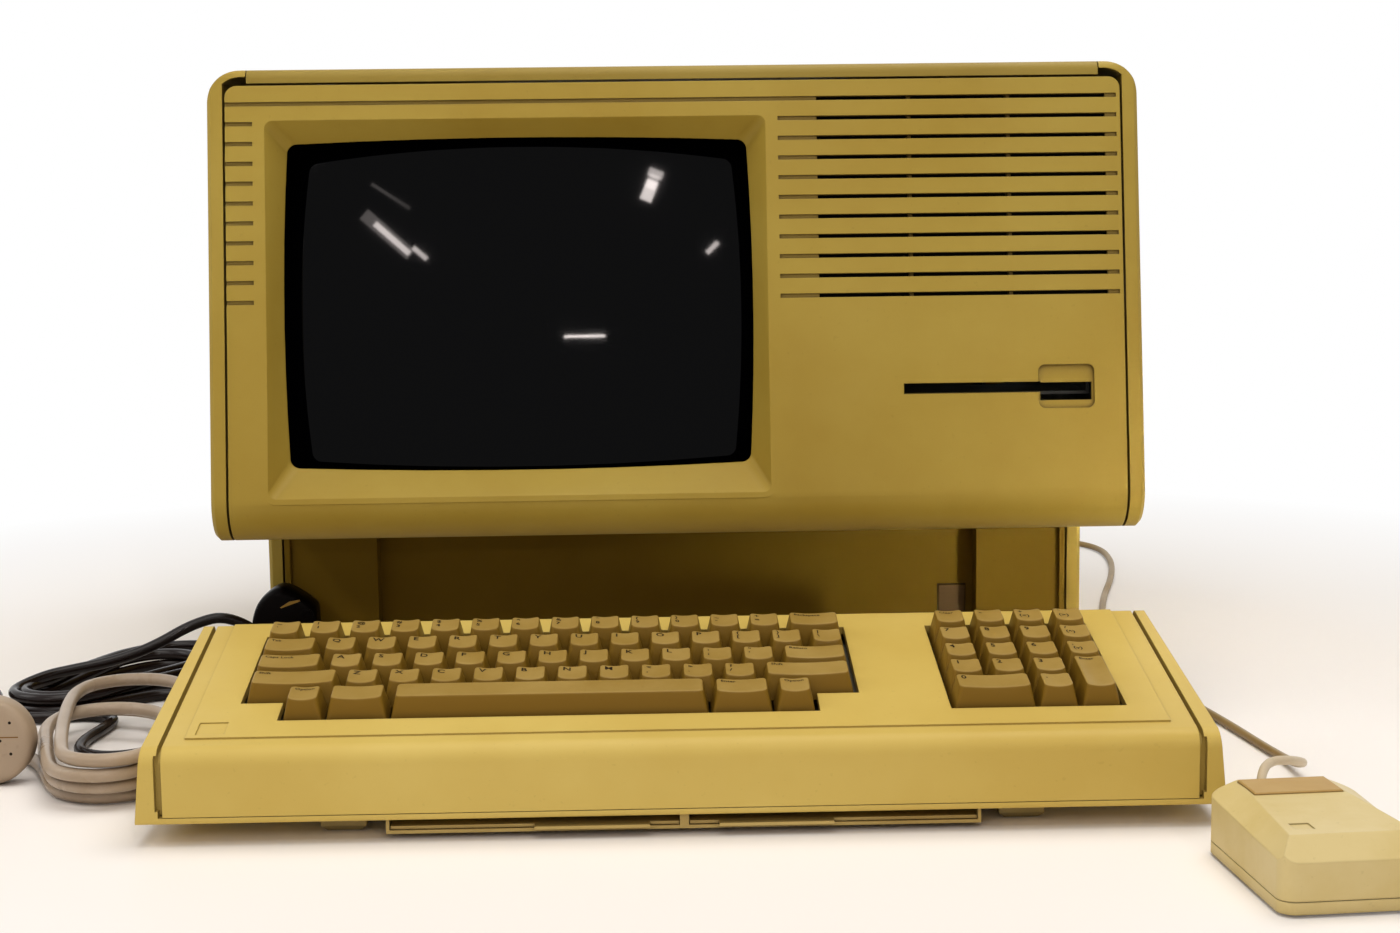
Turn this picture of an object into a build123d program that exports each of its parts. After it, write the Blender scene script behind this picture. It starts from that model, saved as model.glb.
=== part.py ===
"""All-in-one desktop computer of the early 1980s with its keyboard, mouse and leads.

Millimetres, +X to the right as seen from the front, +Y to the back, +Z up.
The origin is the centre of the computer's bottom pan, on the table.
"""

import os
from math import cos, radians, sin, tan

from build123d import *

# ---------------------------------------------------------------- driving sizes: head and pedestal
WIDTH = 475.0  # across the two side shells
DEPTH = 386.0  # foot of the face to the back
HEIGHT = 339.5  # table to the top
HEAD_FLOOR = 100.5  # table to the underside of the head
PEDESTAL_DEPTH = 214.4  # back to the front of the pedestal
FACE_LEAN = 9.1  # degrees that the face leans back
FACE_ROLL = 20.0  # radius where the face rolls under the head
TOP_FRONT_RADIUS = 5.0
BACK_RADIUS = 12.0
COVE_RADIUS = 25.0  # hollow between pedestal and head
TOP_CORNER = 17.0  # radius of the long top corners
SHELL_LIFT = 1.5  # side shells stay off the table by this much
WALL = 3.5  # wall of the large mouldings
RIM_WIDTH = 8.0  # rim of a side shell seen from the front
RIM_BAND = 10.0  # how deep that rim runs inwards
RIM_BEVEL = 2.0
FLANGE = 19.7  # reach of a side shell over the top
SEAM = 1.2  # open joint between face and side shell
FIT = 0.3  # clearance between pieces that are seated on each other

# ---------------------------------------------------------------- front panel, measured on the face
BEZEL_DROP = 8.05  # panel's top edge below the top of the face
BEZEL_CORNER = 6.0
BEZEL_RETURN = 28.0  # how far the panel runs back under the head
SCREEN_SIDE = 19.9  # panel's left edge to the recess
SCREEN_SILL = 23.75  # foot of the face to the recess
SCREEN_BROW = 26.0  # recess to the top of the face
RECESS_WIDTH = 254.6
RECESS_CORNER = 4.0
TUB_DEPTH = 14.0
TUB_WALL = 3.0
VIEW_WIDTH = 240.6  # opening that shows the glass, at the middle of its bulging sides
RECESS_SLOPE = 21.1  # height that the recess loses on its way back to that opening
VIEW_BULGE = 2.6
VIEW_CORNER = 5.0
VIEW_RISE = 3.0  # the opening's middle above the recess's middle
SLOT_HEIGHT = 2.1  # of one louvre slot
SLOT_PITCH = 10.1
SLOT_COUNT = 10
SLOT_DROP = 9.5  # the long slot below the panel's top edge
GROOVE_DEPTH = 1.3
LOUVRE_GAP = 6.3  # recess to the louvres
LOUVRE_SIDE = 2.0  # louvres to the panel's right edge
LOUVRE_BLIND_LEFT = 20.0  # left end of a louvre that is not cut through
LOUVRE_BLIND_RIGHT = 5.7
RIB_SIDES = (57.3, 108.3)  # ribs behind the louvres, from the panel's right edge
RIB_WIDTH = 2.0
RIB_DEPTH = 5.0
LUG = 4.0  # hidden lugs that centre the panel between the side shells
LUG_PLACES = (45.0, 195.0)  # up the face
LEFT_GROOVE = 13.8  # length of the short grooves at the left
DISK_SLOT_SIDE = 31.0  # drive's right side to the slot
DISK_SLOT_WIDTH = 69.3
DISK_SLOT_HEIGHT = 5.4
DISK_SLOT_V = 75.1
NOTCH_WIDTH = 28.7  # finger notch at the slot's right end
NOTCH_HEIGHT = 22.3
NOTCH_SIDE = 17.1  # drive's right side to the notch's middle
NOTCH_V = 75.4
NOTCH_CORNER = 3.5
NOTCH_DEPTH = 2.2
NOTCH_OPEN_WIDTH = 26.4
NOTCH_OPEN_HEIGHT = 9.1
NOTCH_OPEN_V = 73.0

# ---------------------------------------------------------------- covers, pedestal front and back
VENT_LENGTH = 70.0
VENT_WIDTH = 3.2
VENT_PITCH = 9.0
VENT_COUNT = 18
PANEL = 3.0  # wall of the recess panel
PANEL_SETBACK = 3.0  # panel behind the front edges of the side shells
EDGE_STRIP = 3.2  # bright upright edge at each side of the panel
ALCOVE_DEPTH = 15.0  # middle of the panel stands further back
ALCOVE_SIDE_LEFT = 53.5
ALCOVE_SIDE_RIGHT = 51.8
BUTTON_SIDE = 12.5  # alcove's right side to the button's middle
BUTTON_BEVEL = 0.6
BUTTON_ROOM = 4.0
BUTTON_Z = 29.0
BUTTON_WIDTH = 16.2
BUTTON_HEIGHT = 21.5
BUTTON_PROUD = 1.5
BUTTON_LENGTH = 12.0
PAN = 3.0
PAN_WALL = 18.0
FOOT_RADIUS = 9.0
FOOT_HEIGHT = 2.7
FOOT_INSET_X = 40.0
FOOT_INSET_Y = 25.0
SCREW_SPACING = 400.0
SCREW_HEAD = 7.0
SCREW_SHANK = 2.5
SCREW_LENGTH = 12.0
SCREW_RISE = 16.0  # above the cover's lower edge
PORT_PLATE = 2.0
PORT_SETBACK = 4.0
REAR_SPLIT = 97.0  # height where the port panel meets the rear cover
INLET_SIDE = 58.3  # inlet from the panel's left edge
INLET_Z = 42.0
MOUSE_PORT_SIDE = 32.3  # sockets are placed from the panel's right edge
MOUSE_PORT_WIDTH = 26.0
WIDE_PORTS = ((288.3, 40.0), (218.3, 40.0), (138.3, 50.0))  # distance from the edge and width
JACK_SIDES = (338.3, 82.3)
JACK_RADIUS = 7.0
JACK_BORE = 3.2
PORT_HEIGHT = 9.0
PORT_LIP = 4.0
POST_RADIUS = 2.4
POST_GAP = 5.0
POST_LENGTH = 3.0
INLET_WIDTH = 32.0
INLET_HEIGHT = 24.0
INLET_RIM = 3.7
MOUSE_PORT_Z = 34.0

# ---------------------------------------------------------------- picture tube and inner metalwork
GLASS_LAP = 18.8  # height that the opening's edges hide of the glass
GLASS_LAP_X = 15.4  # width that they hide
GLASS_CORNER = 16.0
GLASS_SETBACK = 16.5  # middle of the glass behind the face
GLASS_DOME = 640.0
GLASS_SKIRT = 60.0
FUNNEL_LENGTH = 110.0
NECK_RADIUS = 14.5
NECK_LENGTH = 95.0
YOKE_RADIUS = 42.0
YOKE_LENGTH = 36.0
EAR = 8.0  # mounting ears of the tube
SHEET = 2.0  # inner sheet metal
TUBE_PLATE_W = 30.0  # plate that carries the tube, behind the face
TUBE_PLATE_SIDE = 4.0  # plate beyond the tube's ears
RAIL_INSET = 12.0
RAIL_WIDTH = 8.0
RAIL_POST = 18.0
SHELF_BACK = 12.0
STAND_FRONT = 20.0  # drive stand behind the drive's front
LEG_INSET = 10.0
BOARD = 1.6

VIDEO_GAP = 46.0  # video board to the drive
VIDEO_FRONT = 20.0
VIDEO_LENGTH = 130.0
VIDEO_SHARE = 0.63  # video board's height as a share of the head's

# ---------------------------------------------------------------- card bay in the pedestal
PSU_WIDTH = 127.3
CAGE_GAP = 15.0  # supply box to the card cage
CAGE_SIDE = 14.3  # card cage to the right wall
BAY_DROP = 7.5  # boards end below the head's floor
BAY_MARGIN = 20.0
BOARD_PITCH = 62.0
BOARD_COUNT = 4
CHIP_PITCH = 16.0
CHIP_LENGTH = 11.0
CHIP_WIDTH = 10.0
CHIP_HEIGHT = 3.5
SOCKET_HEIGHT = 9.0
SOCKET_WIDTH = 10.0
PSU_VENT_PITCH = 9.0
PSU_VENT = 4.0

# ---------------------------------------------------------------- disk drive
DRIVE_SIDE = 13.3  # drive to the panel's right edge
DRIVE_WIDTH = 105.0
DRIVE_SETBACK = 25.0  # drive behind the foot of the face
DRIVE_LENGTH = 150.0
DRIVE_DROP = 24.0  # drive floor below the disk slot
DRIVE_RISE = 14.0  # side walls above the disk slot
HUB_RADIUS = 15.0
HUB_HEIGHT = 8.0
HEAD_TRAVEL = 20.0
SCREW_RADIUS = 2.0
HUB_BACK = 62.0  # drive's front to the hub
CARRIAGE_BACK = 56.0  # hub to the carriage's rear face
CARRIAGE_LENGTH = 12.0
CARRIAGE_WIDTH = 16.0
CARRIAGE_HEIGHT = 9.0
ARM_LENGTH = 6.0
ARM_WIDTH = 8.0
ARM_HEIGHT = 4.0
MOTOR_WIDTH = 28.0
MOTOR_LENGTH = 20.0
MOTOR_HEIGHT = 16.0
SCREW_END = 10.0  # lead screw short of the drive's back
SCREW_RISE_IN_DRIVE = 4.5
CRADLE_FRONT = 4.0
CRADLE_LENGTH = 94.0
CRADLE_SHEET = 1.5
CRADLE_LIP = 9.0
CRADLE_DOWN = 5.4  # cradle's floor below the disk slot's middle
HEAD_SLOT = 18.0
HEAD_SLOT_END = 6.0
HUB_ROOM = 3.0
PIN_RADIUS = 1.5
PIN_HEIGHT = 1.2

# ---------------------------------------------------------------- keyboard
KB_X = -3.5  # its middle line
KB_FRONT = -372.7
KB_DEPTH = 146.0
KB_RIM = 12.1  # groove's middle side to the outside, at the bottom
KB_DRAFT = 5.3  # degrees that its sides lean in
KB_FLOOR = 9.5  # table to its underside
KB_FRONT_HEIGHT = 41.8  # table to where the deck meets the front
DECK_SLOPE = 10.5
KB_FRONT_RADIUS = 8.0
KB_REAR_RADIUS = 5.0
KB_FOOT_RADIUS = 2.0
KB_WALL = 3.0
KB_SIDE = 26.4  # keys to the side grooves
KB_GROOVE = 2.0
KB_GROOVE_FRONT = 3.2  # the same groove on the front
KB_GROOVE_DEPTH = 3.6
KB_GROOVE_END = 15.5  # table to the groove's lower end
PLATEAU_SIDE_LEFT = 8.4
PLATEAU_SIDE_RIGHT = 10.2
PLATEAU_FRONT = 12.5
PLATEAU_RISE = 0.8
EMBLEM_SIZE = 12.5
EMBLEM_DEPTH = 0.5
EMBLEM_SIDE = 10.2  # raised panel's left edge to the emblem's middle
EMBLEM_W = 22.0
PITCH = 19.05
KEY_MARGIN = 1.15  # opening edge to the first key's cell
KEYS_SHIFT = 0.4  # keys stand this much to the right of the middle
PAD_GAP = 39.375  # main block to the number pad
KEYS_FRONT = 29.05  # opening edge of the bottom row, up the deck
MAIN_UNITS = 14.5
PAD_COLUMNS = 4
ROWS = 5
KEY_BASE = 18.2
KEY_TOP_WIDTH = 12.8
KEY_TOP_LENGTH = 14.0
KEY_TOP_BACK = 1.3  # keytop stands back of the key's middle
KEY_SKIRT = 3.0  # key's lower edge below the deck
KEY_DISH = 0.8
ROW_TOPS = (9.4, 9.0, 9.0, 9.4, 10.2)  # keytop above the deck, bottom row first
STEM = 5.0
STEM_LENGTH = 6.8
PLATE_DEPTH = 8.5  # switch plate below the deck
PLATE = 1.5
KEY_BOARD_DEPTH = 14.4
KB_FOOT_WIDTH = 20.0
KB_FOOT_LENGTH = 14.0
KB_FOOT_BEVEL = 2.5
KB_FOOT_FRONT = 25.0
KB_FOOT_BACK = 18.0
KB_POST = 8.0  # posts under the switch plate
KB_POST_SIDE = 19.6
KB_POST_MIDDLE = 70.0
PLATE_SIDE = 5.0  # switch plate short of the cover
PLATE_FRONT = 8.0
PLATE_BACK = 10.0
PLATE_POST_BACK = 4.0
KB_FOOT_LEFT = -149.5
KB_FOOT_RIGHT = 150.0
TRAY_LEFT = -129.5
TRAY_RIGHT = 130.0
TRAY_DEPTH = 118.0
TRAY_HEIGHT = 7.2
TRAY_WALL = 1.5
CARD = 1.4
CARD_GAP = 4.0
CARD_TAB = 50.0
CARD_TAB_LENGTH = 13.0
CARD_SETBACK = 1.0
CARD_END = 2.0
TRAY_FRONT = 5.0

# ---------------------------------------------------------------- mouse
MOUSE_X = 250.0
MOUSE_Y = -448.0
MOUSE_TURN = 4.5
MOUSE_WIDTH = 62.0
MOUSE_LENGTH = 88.0
MOUSE_HEIGHT = 30.0
MOUSE_REAR_BEVEL = 13.0
MOUSE_REAR_DROP = 5.0
MOUSE_FRONT_BEVEL = 5.0
MOUSE_FRONT_DROP = 8.5
MOUSE_NOSE_ANGLE = 42.0
MOUSE_BUTTON_BEVEL = 0.5
MOUSE_FLOOR = 2.0
MOUSE_CORNER = 7.0
MOUSE_PARTING = 6.2
MOUSE_WALL = 2.2
MOUSE_SKID = 1.0
MOUSE_BUTTON_WIDTH = 37.5
MOUSE_BUTTON_LENGTH = 21.0
MOUSE_BUTTON_INSET = 2.5  # from the mouse's rear
MOUSE_BUTTON_TRAVEL = 1.2
MOUSE_BUTTON_PROUD = 0.9
MOUSE_EMBLEM = 8.0
MOUSE_EMBLEM_X = -16.0
MOUSE_EMBLEM_Y = -24.0
BALL_RADIUS = 11.0
BALL_Y = -8.0
RING_RADIUS = 16.0
RING_LIP = 2.4  # ring's edge inside the ball's radius
RING_HEIGHT = 1.7
RING_NOTCH = 3.0
RING_SEAT = 0.2
WELL_WALL = 1.4
WELL_PLAY = 0.8
WELL_RISE = 4.0  # well above the ball's middle
SKID_LENGTH = 40.0
SKID_WIDTH = 6.0
SKID_PLACE = 36.0
ROLLER_RADIUS = 1.6
ROLLER_AXLE = 0.95
ROLLER_PLAY = 0.05
ROLLER_LENGTH = 12.0
BEARING = 2.5
BEARING_OUT = 3.0
BEARING_IN = 1.4
BEARING_TOP = 13.5
AXLE_STUB = 2.0
GLAND_LENGTH = 9.0
GLAND_RISE = 12.0
GLAND_RADIUS = 3.6
GLAND_TIP = 2.5

# ---------------------------------------------------------------- leads
MOUSE_CORD = 4.2
MAINS_CORD = 6.5
BLACK_CORD = 6.2
PLUG_RADIUS = 21.0
PLUG_DEPTH = 15.0
PLUG_X = -332.0
PLUG_EDGE = 2.5
PIN_SPACING = 19.0
MAINS_PIN = 2.2
MAINS_PIN_LENGTH = 18.0
GRIP_START = 2.0  # inlet plug's grip behind the machine
GRIP_LENGTH = 10.0
GRIP_LAP = 1.3
NOSE_PLAY = 0.6
HOOD_WIDTH = 24.0
HOOD_HEIGHT = 12.0
SOCKET_LENGTH = 36.0
SOCKET_BODY = 22.0
SOCKET_RISE = 16.0
PLUG_Y = -262.5
HANK_HEIGHT = 24.0
HANK_CORNER = 9.0
HANK_UPPER = [
    (-386, -116),
    (-352, -118),
    (-300, -76),
    (-268, -8),
    (-270, 34),
    (-292, 40),
    (-330, -20),
    (-386, -88),
]
HANK_LOWER = [
    (-386, -116),
    (-334, -165),
    (-308, -222),
    (-266, -226),
    (-264, -150),
    (-268, -60),
    (-268, 34),
    (-292, 40),
    (-338, -20),
    (-386, -88),
]
BLACK_PLUG_Y = -45.0
BLACK_PLUG_DEPTH = 22.0
BLACK_PLUG_SIDE = [(-244, 0), (-244, 38), (-228, 54), (-207, 42), (-206, 0)]
BLACK_PLUG_RADII = [2, 14, 3, 8, 2]
SOCKET_PLACE = (-386, -102, 0)

# ---------------------------------------------------------------- sizes that follow from those
HALF = WIDTH / 2
FRONT = -DEPTH / 2
BACK = DEPTH / 2
PEDESTAL_FRONT = BACK - PEDESTAL_DEPTH
LEAN = radians(FACE_LEAN)
HEAD_HEIGHT = HEIGHT - HEAD_FLOOR
FACE_TOP_Y = FRONT + HEAD_HEIGHT * tan(LEAN)
FACE_LENGTH = HEAD_HEIGHT / cos(LEAN)
BEZEL_TOP = FACE_LENGTH - BEZEL_DROP
SLOT_TOP = BEZEL_TOP - SLOT_DROP
RECESS_HEIGHT = FACE_LENGTH - SCREEN_SILL - SCREEN_BROW
SCREEN_V = SCREEN_SILL + RECESS_HEIGHT / 2
VIEW_HEIGHT = RECESS_HEIGHT - RECESS_SLOPE
GLASS_WIDTH = VIEW_WIDTH + GLASS_LAP_X
GLASS_HEIGHT = VIEW_HEIGHT + GLASS_LAP
BEZEL_HALF = HALF - RIM_WIDTH - SEAM
SCREEN_X = -BEZEL_HALF + SCREEN_SIDE + RECESS_WIDTH / 2
LOUVRE_LEFT = SCREEN_X + RECESS_WIDTH / 2 + LOUVRE_GAP
LOUVRE_RIGHT = BEZEL_HALF - LOUVRE_SIDE
LOUVRE_OPEN_LEFT = LOUVRE_LEFT + LOUVRE_BLIND_LEFT
LOUVRE_OPEN_RIGHT = LOUVRE_RIGHT - LOUVRE_BLIND_RIGHT
LEFT_GROOVE_END = -BEZEL_HALF + LEFT_GROOVE
DRIVE_RIGHT = BEZEL_HALF - DRIVE_SIDE
DRIVE_LEFT = DRIVE_RIGHT - DRIVE_WIDTH
DRIVE_FRONT = FRONT + DRIVE_SETBACK
DISK_SLOT_RIGHT = DRIVE_RIGHT - DISK_SLOT_SIDE
DISK_SLOT_LEFT = DISK_SLOT_RIGHT - DISK_SLOT_WIDTH
NOTCH_X = DRIVE_RIGHT - NOTCH_SIDE
ALCOVE_LEFT = -BEZEL_HALF + ALCOVE_SIDE_LEFT
ALCOVE_RIGHT = BEZEL_HALF - ALCOVE_SIDE_RIGHT
BUTTON_X = ALCOVE_RIGHT - BUTTON_SIDE
PSU_LEFT = -BEZEL_HALF + 2 * PAN
PSU_RIGHT = PSU_LEFT + PSU_WIDTH
CAGE_LEFT = PSU_RIGHT + CAGE_GAP
CAGE_RIGHT = BEZEL_HALF - CAGE_SIDE
MOUSE_PORT_X = BEZEL_HALF - MOUSE_PORT_SIDE
INLET_X = -BEZEL_HALF + INLET_SIDE
COVER_HALF = HALF - FLANGE - FIT - 0.2
DISK_SLOT_Z = HEAD_FLOOR + DISK_SLOT_V * cos(LEAN)
SHELF_Z = HEAD_FLOOR + PANEL + FIT
BAY_TOP = HEAD_FLOOR - BAY_DROP
KEY_PANEL_TOP = KEYS_FRONT + 2 * KEY_MARGIN + ROWS * PITCH
KEYS_WIDTH = (MAIN_UNITS + PAD_COLUMNS) * PITCH + 4 * KEY_MARGIN + PAD_GAP
MAIN_LEFT = KEYS_SHIFT - KEYS_WIDTH / 2  # opening edge of the main block
PAD_LEFT = MAIN_LEFT + MAIN_UNITS * PITCH + 2 * KEY_MARGIN + PAD_GAP  # opening edge of the number pad
KB_COVER_HALF = KEYS_WIDTH / 2 + KB_SIDE  # cover between the two side grooves
KB_HALF_WIDTH = KB_COVER_HALF + KB_RIM
PLATEAU_LEFT = -KB_COVER_HALF + PLATEAU_SIDE_LEFT
PLATEAU_RIGHT = KB_COVER_HALF - PLATEAU_SIDE_RIGHT
EMBLEM_X = PLATEAU_LEFT + EMBLEM_SIDE
KB_POSTS = [sign * x for sign in (-1, 1) for x in (KB_COVER_HALF - KB_POST_SIDE, KB_POST_MIDDLE)]
SLOPE = radians(DECK_SLOPE)
EDGE = 1.0  # overshoot of cutting tools

FACE = Plane(origin=(0, FRONT, HEAD_FLOOR), x_dir=(1, 0, 0), z_dir=(0, -cos(LEAN), sin(LEAN)))
DECK = Plane(origin=(KB_X, KB_FRONT, KB_FRONT_HEIGHT), x_dir=(1, 0, 0), z_dir=(0, -sin(SLOPE), cos(SLOPE)))
MOUSE = Pos(MOUSE_X, MOUSE_Y, 0) * Rot(Z=MOUSE_TURN)


# ---------------------------------------------------------------- helpers
def slab(x0, x1, y0, y1, z0, z1):
    """A block between two corners."""
    return Pos((x0 + x1) / 2, (y0 + y1) / 2, (z0 + z1) / 2) * Box(abs(x1 - x0), abs(y1 - y0), abs(z1 - z0))


def outline(points, radii):
    """A closed flat face through points, each corner with its own radius."""
    return make_face(FilletPolyline(*points, radius=radii, close=True))


def rounded(width, length, radius):
    """A flat rectangle with round corners, centred."""
    return RectangleRounded(width, length, radius)


def barrel(width, height, bulge, corner):
    """A flat rectangle whose four sides bulge, width and height taken over the bulges."""
    x, y = width / 2, height / 2
    sides = [
        ThreePointArc((-x + bulge, -y + bulge), (0, -y), (x - bulge, -y + bulge)),
        ThreePointArc((x - bulge, -y + bulge), (x, 0), (x - bulge, y - bulge)),
        ThreePointArc((x - bulge, y - bulge), (0, y), (-x + bulge, y - bulge)),
        ThreePointArc((-x + bulge, y - bulge), (-x, 0), (-x + bulge, -y + bulge)),
    ]
    face = make_face(Curve() + sides)
    return fillet(face.vertices(), corner)


def both_sides(piece):
    """A piece, or a list of pieces, and its mirror image across the middle plane."""
    whole = Part() + piece
    return whole + mirror(whole, Plane.YZ)


def write(name, piece):
    """One STEP file for one sub-part."""
    export_step(piece, f"parts/{name}.step")


def side_outline():
    """Side view of head and pedestal, in the YZ plane."""
    points = [
        (FRONT, HEAD_FLOOR),
        (FACE_TOP_Y, HEIGHT),
        (BACK, HEIGHT),
        (BACK, SHELL_LIFT),
        (PEDESTAL_FRONT, SHELL_LIFT),
        (PEDESTAL_FRONT, HEAD_FLOOR),
    ]
    return outline(points, [FACE_ROLL, TOP_FRONT_RADIUS, BACK_RADIUS, 0, 0, COVE_RADIUS])


def head_skin(wall):
    """Wall of the head seen from the side, without the side shells' inner hollow."""
    body = side_outline()
    return body - offset(body, -wall)


def across(flat, half):
    """Extrudes a side view to both sides of the middle plane."""
    return extrude(Plane.YZ * flat, half, both=True)


def round_block(inset):
    """Long block with the two round top corners, inset by a wall."""
    half, top, radius = HALF - inset, HEIGHT - inset, TOP_CORNER - inset
    points = [(-half, -EDGE), (-half, top), (half, top), (half, -EDGE)]
    face = outline(points, [0, radius, radius, 0])
    return extrude(Plane.XZ * face, DEPTH, both=True)


def on_face(x0, x1, v0, v1, w0, w1):
    """A block along the leaning face: across, up the face and outwards."""
    return FACE * slab(x0, x1, v0, v1, w0, w1)


# ---------------------------------------------------------------- shells
def side_shell(side):
    """Side shell: wall, round corner, flange over the top and a rim all round; side is -1 for the left."""
    outer = Pos(side * HALF, 0, 0)
    body = side_outline()
    prism = outer * extrude(Plane.YZ * body, -side * HALF)
    outer_edges = prism.faces().sort_by(Axis.X)[0 if side < 0 else -1].edges()
    prism = chamfer(outer_edges, RIM_BEVEL)
    edge, inner = side * (HALF + EDGE), side * (HALF - FLANGE)
    reach = slab(edge, inner, FRONT - EDGE, BACK + EDGE, -EDGE, HEIGHT + EDGE)
    wall = (round_block(0) - round_block(WALL)) & prism & reach
    band = outer * extrude(Plane.YZ * (body - offset(body, -RIM_BAND)), -side * RIM_WIDTH)
    return wall + (band & prism & round_block(0))


def top_cover():
    """Strip over the top between the side shells, with its front lip and cooling slots."""
    skin = across(head_skin(WALL), COVER_HALF)
    lip = on_face(-HALF, HALF, BEZEL_TOP + SEAM, BEZEL_TOP + 5 * WALL, -WALL, EDGE)
    lid = slab(-HALF, HALF, FACE_TOP_Y, BACK - BACK_RADIUS - FIT, HEIGHT - WALL, HEIGHT + EDGE)
    cover = skin & (lip + lid)
    vents = []
    for row_y in (BACK - VENT_LENGTH, BACK - 2.3 * VENT_LENGTH):
        for index in range(VENT_COUNT):
            x = (index - (VENT_COUNT - 1) / 2) * VENT_PITCH
            vents.append(
                Pos(x, row_y, HEIGHT) * extrude(
                    SlotOverall(VENT_LENGTH, VENT_WIDTH, rotation=90),
                    WALL,
                    both=True,
                )
            )
    return cover - vents


def view_opening(margin):
    """The bulging opening that shows the glass, widened by a margin, in the face's plane."""
    size = (VIEW_WIDTH + 2 * margin, VIEW_HEIGHT + 2 * margin)
    return Pos(SCREEN_X, SCREEN_V + VIEW_RISE) * barrel(*size, VIEW_BULGE, VIEW_CORNER + margin)


def recess_mouth(margin):
    """The screen recess at the face, widened by a margin."""
    size = (RECESS_WIDTH + 2 * margin, RECESS_HEIGHT + 2 * margin)
    return Pos(SCREEN_X, SCREEN_V) * rounded(*size, RECESS_CORNER + margin)


def funnel(margin):
    """Tapered recess round the screen, from the face back to the glass opening."""
    throat = Pos(0, 0, -TUB_DEPTH) * view_opening(margin)
    return FACE * loft([recess_mouth(margin), throat], ruled=True)


def louvres():
    """All slots of the face: the long one, ten at the right and ten short grooves at the left."""
    cuts = [
        on_face(
            -BEZEL_HALF - EDGE,
            LOUVRE_RIGHT,
            SLOT_TOP - SLOT_HEIGHT / 2,
            SLOT_TOP + SLOT_HEIGHT / 2,
            -GROOVE_DEPTH,
            EDGE,
        )
    ]
    for index in range(SLOT_COUNT + 1):
        low = SLOT_TOP - index * SLOT_PITCH - SLOT_HEIGHT / 2
        high = low + SLOT_HEIGHT
        cuts.append(on_face(LOUVRE_OPEN_LEFT, LOUVRE_OPEN_RIGHT, low, high, -2 * WALL, EDGE))
        if index > 0:
            cuts.append(on_face(LOUVRE_LEFT, LOUVRE_RIGHT, low, high, -GROOVE_DEPTH, EDGE))
            cuts.append(on_face(-BEZEL_HALF - EDGE, LEFT_GROOVE_END, low, high, -GROOVE_DEPTH, EDGE))
    return cuts


def front_bezel():
    """Snap-off front panel: face, roll under the head, screen recess, louvres and disk slot."""
    skin = across(head_skin(WALL), BEZEL_HALF)
    sheet = outline(
        [(-BEZEL_HALF, -DEPTH), (-BEZEL_HALF, BEZEL_TOP), (BEZEL_HALF, BEZEL_TOP), (BEZEL_HALF, -DEPTH)],
        [0, BEZEL_CORNER, BEZEL_CORNER, 0],
    )
    face_zone = extrude(FACE * sheet, WALL, both=True) & slab(
        -HALF,
        HALF,
        FRONT - EDGE,
        BACK,
        HEAD_FLOOR + FACE_ROLL,
        HEIGHT,
    )
    roll_zone = slab(
        -HALF,
        HALF,
        FRONT - EDGE,
        FRONT + BEZEL_RETURN,
        HEAD_FLOOR - EDGE,
        HEAD_FLOOR + FACE_ROLL,
    )
    bezel = skin & (face_zone + roll_zone)
    bezel = bezel - funnel(0) + (funnel(TUB_WALL) - funnel(0))
    ribs = [
        on_face(
            x - RIB_WIDTH / 2,
            x + RIB_WIDTH / 2,
            SLOT_TOP - (SLOT_COUNT + 0.6) * SLOT_PITCH,
            SLOT_TOP + 3,
            -WALL - RIB_DEPTH,
            -WALL,
        )
        for x in (BEZEL_HALF - side for side in RIB_SIDES)
    ]
    lugs = [
        on_face(
            BEZEL_HALF - LUG,
            BEZEL_HALF + SEAM - FIT,
            v - LUG,
            v + LUG,
            -WALL - LUG,
            -WALL + RIB_WIDTH / 2,
        )
        for v in LUG_PLACES
    ]
    bezel = bezel - louvres() + ribs + both_sides(lugs)
    slot_low = DISK_SLOT_Z - DISK_SLOT_HEIGHT / 2
    disk_slot = slab(
        DISK_SLOT_LEFT,
        DISK_SLOT_RIGHT + EDGE,
        FRONT - EDGE,
        DRIVE_FRONT,
        slot_low,
        slot_low + DISK_SLOT_HEIGHT,
    )
    notch = FACE * (
        Pos(NOTCH_X, NOTCH_V, -NOTCH_DEPTH) * extrude(
            rounded(NOTCH_WIDTH, NOTCH_HEIGHT, NOTCH_CORNER),
            WALL,
        )
    )
    window = on_face(
        NOTCH_X - NOTCH_OPEN_WIDTH / 2,
        NOTCH_X + NOTCH_OPEN_WIDTH / 2,
        NOTCH_OPEN_V - NOTCH_OPEN_HEIGHT / 2,
        NOTCH_OPEN_V + NOTCH_OPEN_HEIGHT / 2,
        -2 * WALL,
        EDGE,
    )
    return bezel - disk_slot - notch - window


# ---------------------------------------------------------------- pedestal
ALCOVE_Y = PEDESTAL_FRONT + PANEL_SETBACK + ALCOVE_DEPTH  # front face of the alcove's back wall


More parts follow.
